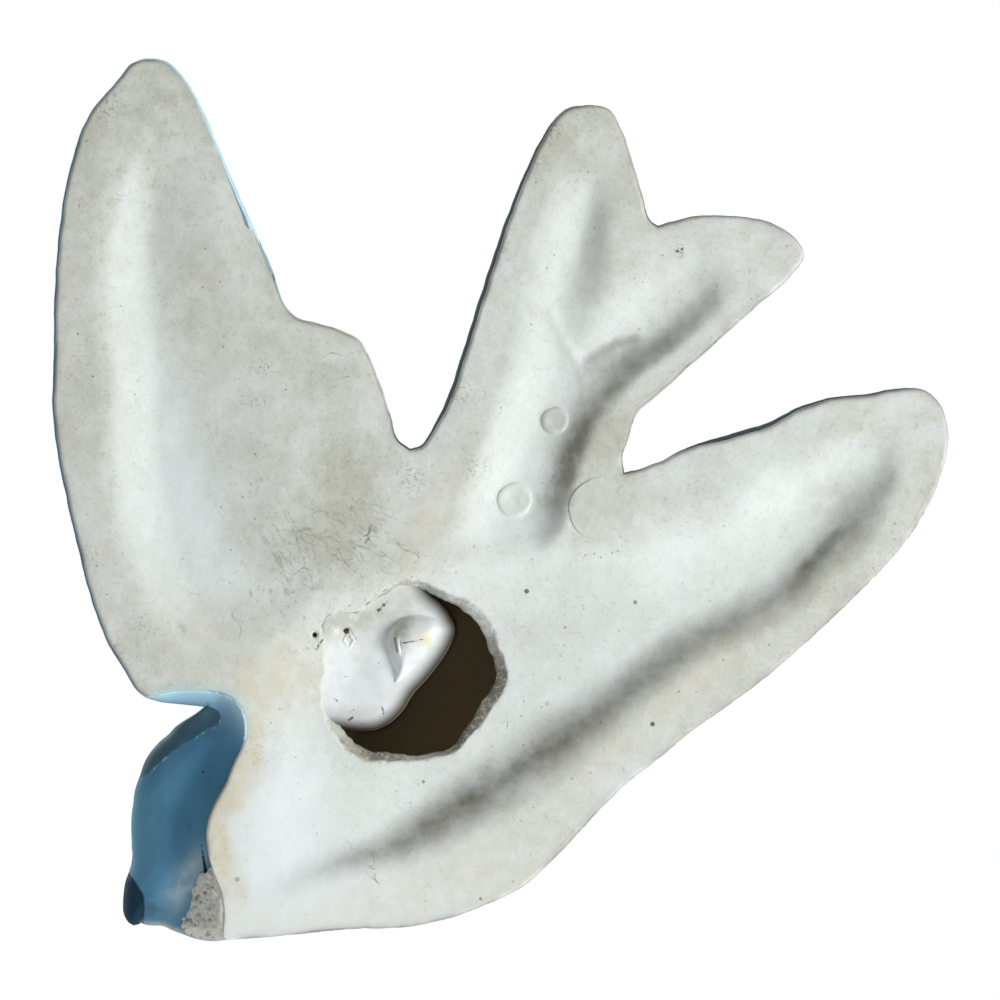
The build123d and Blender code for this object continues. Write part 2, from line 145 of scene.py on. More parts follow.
# Amounts of dirt that the hands left, as (x, z, amount).
soiled = [
    (-95.0, 80.0, 0.65), (-80.0, 160.0, 0.8), (-95.0, 30.0, 0.5), (-80.0, 2.0, 0.6), (-60.0, 120.0, 0.45),
    (-52.0, 80.0, 0.34), (-60.0, 50.0, 0.25), (-40.0, 55.0, 0.5), (-28.0, 88.0, 0.62), (-20.0, 60.0, 0.9),
    (-22.0, 37.0, 1.0), (-28.0, 22.0, 0.45), (-6.0, 33.0, 0.75), (5.0, 50.0, 0.3), (-60.0, 18.0, 0.1),
    (-40.0, 2.0, 0.4), (-42.0, -18.0, 0.1), (-46.0, -8.0, 0.55), (-42.0, -40.0, 0.0), (-30.0, -45.0, 0.0),
    (-40.0, -70.0, 0.0), (0.0, -66.0, 0.15), (2.0, -33.0, 0.4), (20.0, -50.0, 0.25), (50.0, -30.0, 0.3),
    (85.0, -8.0, 0.5), (120.0, 22.0, 0.65), (145.0, 50.0, 0.6), (140.0, 72.0, 0.45), (105.0, 66.0, 0.3),
    (75.0, 55.0, 0.4), (38.0, 10.0, 0.75), (40.0, 32.0, 0.65), (56.0, 64.0, 0.8), (72.0, 82.0, 0.5),
    (16.0, 78.0, 0.6), (28.0, 118.0, 0.6), (48.0, 153.0, 0.9), (62.0, 135.0, 0.7), (72.0, 118.0, 0.6),
    (100.0, 120.0, 0.75),
]
# Small dark smudges, as (x, z, size, amount).
smuts = [
    (39.8, 154.6, 2.6, 1.0), (33.5, 143.4, 2.2, 0.8), (25.8, 119.7, 3.5, 0.6), (13.2, 79.1, 4.0, 0.7),
    (76.1, 119.7, 1.7, 1.1), (-87.8, 161.3, 5.0, 0.8), (-94.2, 132.7, 2.0, 0.8), (-41.8, 86.7, 3.0, 0.7),
    (-44.3, 76.6, 2.2, 0.7), (-92.6, 32.7, 4.0, 0.5), (-78.3, 13.6, 3.0, 0.6), (-0.6, 54.9, 5.0, 0.6),
    (18.5, 58.0, 4.0, 0.5), (55.0, 45.4, 6.0, 0.6), (69.3, 62.0, 3.5, 0.7), (-19.6, 32.4, 2.4, 1.0),
    (-16.0, 47.5, 2.6, 0.9), (-44.0, -22.0, 6.0, 0.35), (80.0, 52.0, 2.0, 0.6), (42.0, 58.0, 5.0, 0.5),
]
# Soft patches of dirt, grime and painted shade, cream stain and scuffs, as (amount, x, z, half length, half
# width, heading).
film_patches = [
    (-0.126, -22.0, -60.0, 52.0, 22.0, 4.0), (-0.101, 36.0, 74.0, 24.0, 10.0, 66.0),
    (-0.25, -36.0, -34.0, 26.0, 10.0, 72.0), (-0.2, -88.0, 146.0, 14.0, 7.0, 80.0),
    (-0.125, -62.0, 143.0, 10.0, 5.0, 115.0), (0.125, -69.0, 166.0, 6.0, 4.0, 0.0),
    (-0.125, -95.0, 74.0, 20.0, 5.0, 95.0), (0.1, -81.0, 96.0, 40.0, 5.0, 95.0),
    (0.15, 37.0, 25.0, 14.0, 7.0, 20.0), (-0.2, -25.0, -66.0, 48.0, 13.0, 5.0),
    (-0.15, -66.0, 62.0, 45.0, 7.0, 100.0), (-0.2, 11.0, 38.0, 9.0, 6.0, 0.0),
    (-0.125, 90.0, 50.0, 25.0, 8.0, 35.0), (0.15, -93.0, 123.0, 30.0, 6.0, 85.0),
    (0.15, 40.0, 95.0, 30.0, 10.0, 75.0), (0.125, 33.0, 15.0, 12.0, 10.0, 0.0),
    (0.125, 110.0, 43.0, 20.0, 6.0, 40.0),
]
# Painted shade: gain on shaded walls; patches in the breast hollow and by the tail crease, one by the wing
# tip being dirt.
wall_shade_gain = [(0.4, 18.0, -32.0, 40.0, 12.0, 33.0), (1.7, 47.0, 63.0, 17.0, 8.0, 65.0)]
grime_and_shade_patches = [
    (0.3, 30.0, -32.0, 34.0, 8.0, 36.0), (0.22, -25.0, -57.0, 20.0, 4.0, 22.0),
    (0.35, 119.0, 48.0, 10.0, 6.0, 45.0), (0.22, 49.0, 118.0, 24.0, 8.0, 72.0),
    (0.95, 55.5, 88.0, 10.0, 4.2, 32.0), (0.4, 50.0, 86.5, 3.5, 2.6, 45.0),
    (0.3, 80.0, 104.0, 14.0, 5.0, 40.0),
]
cream_patches = [
    (0.7, -42.0, -4.0, 16.0, 9.0, 20.0), (0.6, 6.0, 44.0, 16.0, 6.0, 60.0),
    (0.4, 70.0, -12.0, 60.0, 6.0, 38.0), (0.4, 8.0, -62.0, 58.0, 11.0, 14.0),
    (0.35, -60.0, 12.0, 16.0, 10.0, 0.0), (0.3, -58.0, 102.0, 20.0, 7.0, 100.0),
]
scuff_patches = [
    (1.0, -22.0, 34.0, 34.0, 16.0, 12.0), (0.8, 48.0, 52.0, 16.0, 14.0, 0.0),
    (0.5, -20.0, 84.0, 20.0, 18.0, 0.0), (0.9, 15.0, -44.0, 46.0, 18.0, 30.0),
]


def ramp(t):
    """Smooth step: three t squared less two t cubed, with t held between 0 and 1."""
    t = np.clip(t, 0.0, 1.0)
    return t * t * (3.0 - 2.0 * t)


def cubics(at, place, value, slope):
    """Cubic stretches through values at places, each with its own slope there."""
    i = np.clip(np.searchsorted(place, at) - 1, 0, len(place) - 2)
    run = place[i + 1] - place[i]
    t = np.clip((at - place[i]) / run, 0.0, 1.0)
    start = (2 * t**3 - 3 * t**2 + 1) * value[i] + (t**3 - 2 * t**2 + t) * run * slope[i]
    return start + (3 * t**2 - 2 * t**3) * value[i + 1] + (t**3 - t**2) * run * slope[i + 1]


def track(at, stations):
    """Smooth line through stations of (place, value) that never overshoots: harmonic means of the slopes."""
    place, value = np.array(stations, float).T
    rise = np.diff(value) / np.diff(place)
    before, after = rise[:-1], rise[1:]
    total = np.where(before + after == 0.0, 1.0, before + after)
    mean = np.where(before * after > 0.0, 2.0 * before * after / total, 0.0)
    return cubics(at, place, value, np.concatenate([rise[:1], mean, rise[-1:]]))


def smooth_run(points, end, step):
    """Even points along a smooth curve through the given points up to end, which is left off."""
    points = np.array(list(points) + [end], float)
    chord = np.concatenate([[0.0], np.cumsum(np.hypot(*np.diff(points, axis=0).T))])
    fine = np.linspace(0.0, chord[-1], int(chord[-1] * 8) + 2)
    line = np.stack([cubics(fine, chord, points[:, k], np.gradient(points[:, k], chord)) for k in (0, 1)], 1)
    length = np.concatenate([[0.0], np.cumsum(np.hypot(*np.diff(line, axis=0).T))])
    even = np.linspace(0.0, length[-1], int(round(length[-1] / step)) + 1)[:-1]
    return np.stack([np.interp(even, length, line[:, k]) for k in (0, 1)], 1)


def outward(loop):
    """Unit normals of a clockwise closed loop, square to the line between each point's neighbours."""
    along = np.roll(loop, -1, 0) - np.roll(loop, 1, 0)
    along /= np.maximum(np.hypot(along[:, :1], along[:, 1:]), 1e-9)
    return np.stack([-along[:, 1], along[:, 0]], 1)


def inside_by(points, loop):
    """Distance of each point inside a closed loop, below 0 outside: nearest edge, signed by crossings."""
    ax, az = loop.astype(np.float32).T
    bx, bz = np.roll(ax, -1), np.roll(az, -1)
    ex, ez = bx - ax, bz - az
    size = np.maximum(ex * ex + ez * ez, 1e-9)
    lean = ex / np.where(np.abs(ez) < 1e-9, 1e-9, ez)
    result = []
    for block in np.array_split(points.astype(np.float32), max(1, len(points) // 1500)):
        ox, oz = block[:, :1] - ax, block[:, 1:] - az
        share = np.clip((ox * ex + oz * ez) / size, 0.0, 1.0)
        near = np.sqrt(((ox - share * ex) ** 2 + (oz - share * ez) ** 2).min(1))
        crossed = ((oz < 0.0) != (block[:, 1:] < bz)) & (ox < oz * lean)
        result.append(np.where(crossed.sum(1) % 2 == 1, near, -near))
    return np.concatenate(result).astype(float)


def along_line(x, z, points):
    """Distance from a line through points: the least over its stretches."""
    points = np.array(points)
    result = np.full(np.shape(x), 1e9)
    for (ax, az), (bx, bz) in zip(points[:-1], points[1:]):
        size = (bx - ax) ** 2 + (bz - az) ** 2
        share = np.clip(((x - ax) * (bx - ax) + (z - az) * (bz - az)) / size, 0.0, 1.0)
        result = np.minimum(result, np.hypot(x - ax - share * (bx - ax), z - az - share * (bz - az)))
    return result


def ripple(x, z, size, seed):
    """Smooth unevenness of about plus or minus 1: 20 plane waves of nearly one size, in any direction."""
    draw = np.random.default_rng(seed)
    turn, phase = draw.uniform(0.0, 2.0 * np.pi, (2, 20))
    pace = 2.0 * np.pi / (size * draw.uniform(0.7, 1.5, 20))
    waves = [np.sin(k * (x * np.cos(a) + z * np.sin(a)) + p) for a, p, k in zip(turn, phase, pace)]
    return sum(waves) / 4.5


def shares(limb, x, z):
    """Shares of a limb's length from its root and of its width to its left."""
    root, heading, length, width = limb
    run, rise = np.cos(np.radians(heading)), np.sin(np.radians(heading))
    right, up = x - root[0], z - root[1]
    return (right * run + up * rise) / length, (up * run - right * rise) / width


def spot(x, z, at, size, heading=0.0):
    """A soft oval patch: a bell of the two half sizes, with its long axis at the heading."""
    run, rise = np.cos(np.radians(heading)), np.sin(np.radians(heading))
    along = (x - at[0]) * run + (z - at[1]) * rise
    across = (z - at[1]) * run - (x - at[0]) * rise
    return np.exp(-((along / size[0]) ** 2) - (across / size[1]) ** 2)


def patches(x, z, table):
    """Sum of soft oval patches from rows of (amount, x, z, half length, half width, heading)."""
    return sum(
        amount * spot(x, z, (px, pz), (long, wide), heading) for amount, px, pz, long, wide, heading in table
    )


def away(x, z, at):
    """Distance from a point: the root of the two squares."""
    return np.hypot(x - at[0], z - at[1])


def beside(x, z, line, width):
    """Share of 1 on a line that fades as a bell of the given width to both sides."""
    return np.exp(-((along_line(x, z, line) / width) ** 2))


def hexes(box, spacing):
    """Points of a triangular net over a box of (left, low, right, high)."""
    column = np.arange(box[0], box[2], spacing)
    row = np.arange(box[1], box[3], spacing * np.sqrt(3.0) / 2.0)
    x, z = np.meshgrid(column, row)
    x = x + (np.arange(len(row)) % 2)[:, None] * spacing / 2.0
    return np.stack([x.ravel(), z.ravel()], 1)


def net_points(box, spacing, finer):
    """A net over a box, with finer nets in discs of (x, z, radius, spacing)."""
    points = hexes(box, spacing)
    for x, z, radius, fine in finer:
        points = points[away(*points.T, (x, z)) > radius]
        extra = hexes((x - radius, z - radius, x + radius, z + radius), fine)
        points = np.concatenate([points, extra[away(*extra.T, (x, z)) < radius - 0.4 * fine]])
    return points


def plan_net(loops, points):
    """Triangles over a plan: the first loop is its edge, the others are holes, and points fill it."""
    corners = np.concatenate(list(loops) + [points])
    edges, start = [], 0
    for loop in loops:
        at = np.arange(start, start + len(loop))
        edges.append(np.stack([at, np.roll(at, -1)], 1))
        start += len(loop)
    made = delaunay_2d_cdt(corners.tolist(), np.concatenate(edges).tolist(), [], 0, 1e-6, False)
    faces = np.array(made[2])
    on_edges = (faces < start).all(1)
    middles = corners[faces[on_edges]].mean(1)
    good = inside_by(middles, loops[0]) > 0
    for hole in loops[1:]:
        good &= inside_by(middles, hole) < 0
    keep = np.ones(len(faces), bool)
    keep[on_edges] = good
    faces = faces[keep]
    a, b, c = (corners[faces[:, k]] for k in range(3))
    turn = (b[:, 0] - a[:, 0]) * (c[:, 1] - a[:, 1]) - (b[:, 1] - a[:, 1]) * (c[:, 0] - a[:, 0])
    faces[turn < 0] = faces[turn < 0][:, ::-1]
    return corners, faces[np.abs(turn) > 1e-9]


def raised(plan, y):
    """Corners over the points of a plan, at the depths y."""
    return np.stack([plan[:, 0], y, plan[:, 1]], 1)


def strip(first, second):
    """Triangles between two closed rows of vertex numbers; they face left of the way from first to second."""
    next_first, next_second = np.roll(first, -1), np.roll(second, -1)
    return np.concatenate([
        np.stack([first, second, next_second], 1), np.stack([first, next_second, next_first], 1),
    ])


def add_rings(corners, faces, row, rings, outside):
    """Adds rings of corners to a mesh in the making, each joined to the row before it; gives the last row."""
    for ring in rings:
        next_row = np.arange(len(ring)) + sum(map(len, corners))
        corners.append(ring)
        faces.append(strip(next_row, row) if outside else strip(row, next_row))
        row = next_row
    return row


def piece(name, corners, faces, fields, node, material):
    """Makes a smooth mesh from corners in mm and triangles, with a number per corner in each named field."""
    mesh = bpy.data.meshes.new(name)
    mesh.vertices.add(len(corners))
    mesh.vertices.foreach_set("co", (corners / 1000.0).astype(np.float32).ravel())
    mesh.loops.add(faces.size)
    mesh.loops.foreach_set("vertex_index", faces.astype(np.int32).ravel())
    mesh.polygons.add(len(faces))
    mesh.polygons.foreach_set("loop_start", np.arange(0, faces.size, 3, dtype=np.int32))
    mesh.polygons.foreach_set("use_smooth", np.ones(len(faces), bool))
    for field, value in fields.items():
        mesh.attributes.new(field, "FLOAT", "POINT").data.foreach_set("value", np.asarray(value, np.float32))
    mesh.update(calc_edges=True)
    mesh.validate()
    made = bpy.data.objects.new(name, mesh)
    bpy.context.scene.collection.objects.link(made)
    mesh.materials.append(material)
    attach(made, "root")
    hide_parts(node)


def bank(t):
    """Wall of a hollow from rim to foot: two t squared to half way, then the same turned about."""
    t = np.clip(t, 0.0, 1.0)
    return np.where(t < 0.5, 2.0 * t * t, 1.0 - 2.0 * (1.0 - t) ** 2)


def scoop(t):
    """Wall of a hollow with a long foot: one less (1 - t) cubed times (1 + 3t)."""
    t = np.clip(t, 0.0, 1.0)
    return 1.0 - (1.0 - t) ** 3 * (1.0 + 3.0 * t)


def wing_hollow(x, z):
    """Left wing: a soft wall behind the leading edge, then a slow rise to the trailing edge."""
    u, v = shares(LEFT_WING, x, z)
    wall = track(u, [
        (0.0, 0.60), (0.08, 0.66), (0.17, 0.70), (0.26, 0.70), (0.36, 0.65), (0.46, 0.58), (0.66, 0.47),
        (0.80, 0.30), (0.87, 0.2),
    ])
    deep = track(u, [
        (-0.25, 0.0), (-0.2, 0.0), (-0.08, 0.1), (0.02, 0.45), (0.15, 0.8), (0.30, 1.0), (0.62, 1.0),
        (0.76, 0.7), (0.86, 0.12), (0.92, 0.0), (1.0, 0.0),
    ])
    fade = track(u, [(0.0, 44.0), (0.30, 40.0), (0.57, 27.0), (0.90, 14.0)])
    inside = (wall - v) * LEFT_WING[3]
    rising = 1.0 - 0.6 * ramp((inside - 7.0) / fade)
    return 5.4 * np.clip(deep, 0.0, 1.0) * ramp(0.5 + inside / 19.0) * rising


def breast_hollow(x, z):
    """Breast and right wing: one long wall by the lower edge, whose floor fades out above it."""
    u, v = shares(RIGHT_WING, x, z)
    wall = track(u, [
        (-0.72, -0.06), (-0.65, -0.14), (-0.50, -0.32), (-0.35, -0.36), (-0.20, -0.38), (-0.05, -0.37),
        (0.10, -0.32), (0.25, -0.29), (0.38, -0.37), (0.50, -0.40), (0.60, -0.32), (0.70, -0.25),
        (0.80, -0.11), (0.92, 0.04),
    ])
    deep = track(u, [
        (-0.95, 0.0), (-0.86, 0.0), (-0.76, 0.08), (-0.64, 0.35), (-0.48, 0.85), (-0.35, 1.1), (-0.2, 1.1),
        (0.0, 1.0), (0.4, 0.9), (0.7, 0.85), (0.8, 0.62), (0.92, 0.08), (0.98, 0.0), (1.05, 0.0),
    ])
    wide = track(u, [
        (-0.7, 12.0), (-0.5, 17.0), (-0.35, 21.0), (-0.2, 24.0), (0.0, 22.0), (0.15, 17.0), (0.3, 18.0),
        (0.45, 18.0), (0.6, 17.0), (0.7, 21.0), (0.9, 17.0),
    ])
    floor = track(u, [(-0.7, 34.0), (-0.3, 44.0), (0.0, 34.0), (0.3, 12.0), (0.9, 6.0)])
    fade = track(u, [(-0.7, 30.0), (-0.3, 36.0), (0.2, 38.0), (0.5, 32.0), (0.9, 16.0)])
    inside = (v - wall) * RIGHT_WING[3]
    return 6.6 * np.clip(deep, 0.0, 1.1) * bank(0.5 + inside / wide) * (1.0 - ramp((inside - floor) / fade))


def stem_hollow(x, z):
    """Tail stem and left prong: a channel between two walls, closed by the web of the fork on its right."""
    u, v = shares(LEFT_PRONG, x, z)
    left = track(u, [
        (-0.2, 0.50), (0.0, 0.46), (0.08, 0.37), (0.16, 0.33), (0.24, 0.26), (0.32, 0.20), (0.40, 0.19),
        (0.50, 0.23), (0.60, 0.20), (0.70, 0.19), (0.80, 0.23), (0.90, 0.18),
    ])
    right = track(u, [
        (-0.2, -0.57), (0.0, -0.55), (0.08, -0.56), (0.16, -0.61), (0.24, -0.69), (0.32, -0.83),
        (0.40, -1.02), (0.50, -1.42), (1.0, -2.4),
    ])
    deep = track(u, [
        (-0.4, 0.0), (-0.3, 0.0), (-0.2, 0.08), (0.0, 0.85), (0.10, 1.05), (0.30, 1.0), (0.45, 0.88),
        (0.60, 0.82), (0.72, 0.72), (0.80, 0.5), (0.90, 0.08), (0.95, 0.0), (1.05, 0.0),
    ])
    near = track(u, [(0.3, -0.2), (0.45, -0.05), (0.6, -0.05), (0.7, -0.12), (0.9, -0.1)])
    far = track(u, [(0.3, -2.0), (0.45, -1.3), (0.55, -1.0), (0.62, -0.82), (0.7, -0.66), (0.9, -0.6)])
    wide = track(u, [(0.0, 16.5), (0.16, 20.0), (0.32, 24.0), (0.5, 25.5)])
    web = 1.0 - ramp((u - 0.32) / 0.2) * (1.0 - ramp((v - far) / (near - far)))
    from_left, from_right = (left - v) * LEFT_PRONG[3], (v - right) * LEFT_PRONG[3]
    between = ramp(0.5 + from_left / 20.0) * scoop(0.33 + from_right / wide)
    return 6.0 * np.clip(deep, 0.0, 1.0) * between * web


def prong_hollow(x, z):
    """Right prong: a wall with a long foot by the lower edge, whose floor fades out above it."""
    u, v = shares(RIGHT_PRONG, x, z)
    wall = track(u, [
        (0.30, 0.15), (0.36, 0.22), (0.42, 0.23), (0.48, 0.23), (0.54, 0.205), (0.60, 0.185), (0.72, 0.165),
        (0.78, 0.185), (0.90, 0.25),
    ])
    deep = track(u, [
        (0.2, 0.0), (0.26, 0.0), (0.31, 0.12), (0.42, 0.9), (0.55, 1.0), (0.72, 0.75), (0.87, 0.08),
        (0.93, 0.0), (1.0, 0.0),
    ])
    inside = (v - wall) * RIGHT_PRONG[3]
    return 6.0 * np.clip(deep, 0.0, 1.0) * scoop(0.33 + inside / 15.5) * (1.0 - ramp((inside - 7.0) / 28.0))


def hollow(x, z):
    """Depth of the raw back, a soft maximum: the fourth root of its four hollows' summed fourth powers."""
    return sum(part(x, z) ** 4 for part in (wing_hollow, breast_hollow, stem_hollow, prong_hollow)) ** 0.25


def back_depth(x, z):
    """The hollows with slack waves of the pour and small folds and creases, never above the wall plane."""
    waves = 0.10 * ripple(x, z, 30.0, 11) + 0.05 * ripple(x, z, 9.0, 12) + 0.02 * ripple(x, z, 3.0, 13)
    folds = 0.42 * beside(x, z, tail_fold, 1.4) + 0.22 * beside(x, z, wing_fold, 2.0)
    creases = 0.7 * beside(x, z, tail_crease, 1.3) + 0.5 * beside(x, z, wing_dent, 1.5)
    return np.maximum(hollow(x, z) + waves - folds + creases, 0.0)


def at_throat(x, z):
    """Share of 1 at the throat, where the fill is smeared over the edge of the back."""
    return ramp((-49.0 - x) / 3.0) * ramp((-50.0 - z) / 5.0)


def tone(red, green, blue):
    """A colour from screen values of 0 to 255, as light."""
    share = np.array([red, green, blue]) / 255.0
    light = np.where(share <= 0.04045, share / 12.92, ((share + 0.055) / 1.055) ** 2.4)
    return (*map(float, light), 1.0)


class Shader:
    """A new material and its nodes, with short words for the few kinds of node that are used."""

    def __init__(self, name):
        self.material = bpy.data.materials.new(name)
        self.material.use_nodes = True
        self.tree = self.material.node_tree
        self.surface = self.tree.nodes["Principled BSDF"]
        self.place = self.node("TexCoord").outputs["Object"]
        self.colour = None

    def node(self, kind, inputs=None, **settings):
        """A node with its settings, and each input linked to a socket or set to a value."""
        made = self.tree.nodes.new("ShaderNode" + kind)
        for key, value in settings.items():
            setattr(made, key, value)
        for key, value in (inputs or {}).items():
            self.put(made.inputs[key], value)
        return made

    def put(self, socket, value):
        """Links a socket into another, or sets its value."""
        if isinstance(value, bpy.types.NodeSocket):
            self.tree.links.new(value, socket)
        else:
            socket.default_value = value

    def field(self, name):
        """A number that the mesh carries at each corner."""
        return self.node("Attribute", attribute_name=name).outputs["Fac"]

    def noise(self, size, detail=3.0, rough=0.55, warp=0.0):
        """Cloudy noise from 0 to 1 whose patches are about size mm."""
        inputs = {"Vector": self.place, "Scale": 1000.0 / size, "Detail": detail, "Roughness": rough}
        return self.node("TexNoise", inputs | {"Distortion": warp}).outputs["Fac"]

    def cells(self, size):
        """Distance from the nearest of scattered points about size mm apart, and that point's own colour."""
        made = self.node("TexVoronoi", {"Vector": self.place, "Scale": 1000.0 / size})
        return made.outputs["Distance"], made.outputs["Color"]

    def math(self, work, first, second=0.0):
        """One sum, product or the like of two values."""
        return self.node("Math", {0: first, 1: second}, operation=work).outputs[0]

    def plus(self, first, second):
        """Sum of two values."""
        return self.math("ADD", first, second)

    def times(self, first, *others):
        """Product of two or more values."""
        for other in others:
            first = self.math("MULTIPLY", first, other)
        return first

    def step(self, value, low, high):
        """Smooth step from 0 at low to 1 at high, or falling where low is the larger."""
        inputs = {"Value": value, "From Min": min(low, high), "From Max": max(low, high)}
        inputs |= {"To Min": 0.0 if low < high else 1.0, "To Max": 1.0 if low < high else 0.0}
        return self.node("MapRange", inputs, interpolation_type="SMOOTHSTEP").outputs[0]

    def specks(self, size, far, near, rare):
        """Scattered round specks about size mm apart, left out where a point's own colour is below rare."""
        distance, own = self.cells(size)
        return self.times(self.step(distance, far, near), self.step(own, rare, rare + 0.04))

    def hairlines(self, size, warp, thin):
        """Fine wandering lines: where a cloudy noise is within thin of its middle."""
        off = self.math("ABSOLUTE", self.math("SUBTRACT", self.noise(size, 1.0, 0.4, warp), 0.5))
        return self.step(off, thin, thin * 0.3)

    def blend(self, share, first, second):
        """Colour that goes from first to second with the share."""
        return self.node("Mix", {0: share, 6: first, 7: second}, data_type="RGBA").outputs[2]

    def coat(self, share, colour):
        """Lays a colour over the one so far, by the share."""
        self.colour = self.blend(share, self.colour, colour)

    def bump(self, height, size, under=None):
        """Normal of a surface raised by height times size mm."""
        inputs = {"Height": height, "Distance": size / 1000.0}
        if under is not None:
            inputs["Normal"] = under
        return self.node("Bump", inputs).outputs[0]

    def finish(self, normal, values):
        """Puts the colour, the normal and the named values on the surface's own sockets."""
        for socket, value in {"Base Color": self.colour, "Normal": normal, **values}.items():
            self.put(self.surface.inputs[socket], value)


limb_runs = {
    "left_wing": left_wing_run, "left_prong": left_prong_run, "right_prong": right_prong_run,
    "right_wing": right_wing_run, "head": head_run,
}
limbs = list(limb_runs)
limb_sides = {
    limb: smooth_run(limb_runs[limb], limb_runs[following][0], OUTLINE_STEP)
    for limb, following in zip(limbs, limbs[1:] + limbs[:1])
}


def round_edge(stations):
    """A value for each point of the silhouette, from stations of (share, value) on each limb's run."""
    none = [(0.0, 0.0), (1.0, 0.0)]
    return np.concatenate([
        track(np.linspace(0.0, 1.0, len(limb_sides[limb])), stations.get(limb, none)) for limb in limbs
    ])


silhouette = np.concatenate([limb_sides[limb] for limb in limbs])
rough = 0.07 * ripple(*silhouette.T, 7.0, 3) + 0.04 * ripple(*silhouette.T, 3.0, 4)
silhouette = silhouette + outward(silhouette) * (rough + round_edge(rim_fuller))[:, None]
trimmed = silhouette - outward(silhouette) * round_edge(rim_show)[:, None]
neck_top = np.argmin(away(*limb_sides["left_wing"].T, NECK_CORNERS[0]))
neck_foot = np.argmin(away(*silhouette.T, NECK_CORNERS[1]))
back_edge = np.concatenate([
    trimmed[neck_top:neck_foot], smooth_run(neck_run, trimmed[neck_top], OUTLINE_STEP),
])

hole = smooth_run(hole_outer, hole_outer[0], HOLE_STEP)
hole_gap = np.clip(track(np.linspace(0.0, 1.0, len(hole), endpoint=False), hole_inner_gap), 0.4, 4.0)
hole = hole + outward(hole) * (0.09 * ripple(*hole.T, 2.2, 8) + 0.14 * ripple(*hole.T, 5.0, 9))[:, None]

back_net = net_points(PLAN_BOX, 1.0, [
    (*LOWER_PLUG[:2], 8.5, 0.5), (*UPPER_PLUG[:2], 7.0, 0.5), (*WIRE_HOLES[0], 5.0, 0.35),
    (-19.0, 17.0, 6.0, 0.5), (-28.0, 36.0, 15.0, 0.5), (-8.0, 38.0, 12.0, 0.5), (76.2, 120.0, 2.6, 0.35),
])
back_net = back_net[(inside_by(back_net, back_edge) > 2.3) & (inside_by(back_net, hole) < -2.3)]
edge_rings = [back_edge - outward(back_edge) * inset for inset in EDGE_RINGS]
edge_rings = np.concatenate(edge_rings + [hole + outward(hole) * inset for inset in EDGE_RINGS])
edge_rings = edge_rings[(inside_by(edge_rings, back_edge) > 0.18) & (inside_by(edge_rings, hole) < -0.18)]
back_plan, back_top = plan_net([back_edge, hole], np.concatenate([edge_rings, back_net]))
x, z = back_plan.T
edge_in = np.maximum(inside_by(back_plan, back_edge), 0.0)
hole_out = np.maximum(-inside_by(back_plan, hole), 0.0)

back_y = back_depth(x, z) + 0.25 * (1.0 - ramp(hole_out / 0.6)) ** 2
back_y += 0.4 * (1.0 - ramp(edge_in / 0.8)) ** 2 * (1.0 - 0.8 * at_throat(x, z))
for plug in (LOWER_PLUG, UPPER_PLUG):
    back_y += 0.12 * np.exp(-(((away(x, z, plug) - plug[2] - 0.4) / 0.8) ** 2))
patch_side = ramp((np.cos(np.arctan2(z - PATCH[1], x - PATCH[0]) - np.radians(170.0)) - 0.3) / 0.5)
back_y += 0.35 * patch_side * np.exp(-(((away(x, z, PATCH) - PATCH[2] - 0.3) / 0.5) ** 2))
back_y += 2.6 * (1.0 - ramp((away(x, z, WIRE_HOLES[0]) - 0.35) / 0.7))

edge_count, hole_count = len(back_edge), len(hole)
edge_y, lip_y = np.split(back_y[:edge_count + hole_count], [edge_count])
edge_wall, hole_wall = [], []
for share, out in EDGE_WALL:
    under_edge = back_edge + outward(back_edge) * out
    edge_wall.append(raised(under_edge, edge_y + (BACK_UNDERSIDE - edge_y) * share))
for share in HOLE_WALL:
    pitted = 0.10 * ripple(hole[:, 0] * 1.3 + 40.0 * share, hole[:, 1], 1.8, 21) * np.sin(np.pi * share)
    drawn_in = hole_gap * (1.0 - (1.0 - share) ** 1.6) + pitted
    under_hole = hole * (1.0 - drawn_in / np.hypot(*hole.T))[:, None]
    hole_wall.append(raised(under_hole, lip_y + (BACK_UNDERSIDE - lip_y) * share))
back_corners, back_faces = [raised(back_plan, back_y)], [back_top]
edge_row = add_rings(back_corners, back_faces, np.arange(edge_count), edge_wall, True)
hole_row = add_rings(back_corners, back_faces, edge_count + np.arange(hole_count), hole_wall, False)
under_faces = plan_net([under_edge, under_hole], np.zeros((0, 2)))[1]
back_faces.append(np.concatenate([edge_row, hole_row])[under_faces][:, ::-1])
back_corners, back_faces = np.concatenate(back_corners), np.concatenate(back_faces)

x, z = back_corners[:, 0], back_corners[:, 2]
on_walls = len(back_corners) - len(back_plan)
edge_in = np.concatenate([edge_in, np.zeros(on_walls)])
lip = np.concatenate([
    np.exp(-hole_out / 0.5), np.zeros(len(EDGE_WALL) * edge_count), np.ones(len(HOLE_WALL) * hole_count),
])
lip *= 1.0 - 0.85 * ramp((-20.0 - x) / 4.0) * ramp((z + 16.0) / 6.0)
# Painted shade on the hole's wall where it faces away from the lamp.
hole_wall_shade = np.where(lip == 1.0, ramp((np.cos(np.arctan2(z, x) + np.radians(30.0)) - 0.6) / 0.3), 0.0)

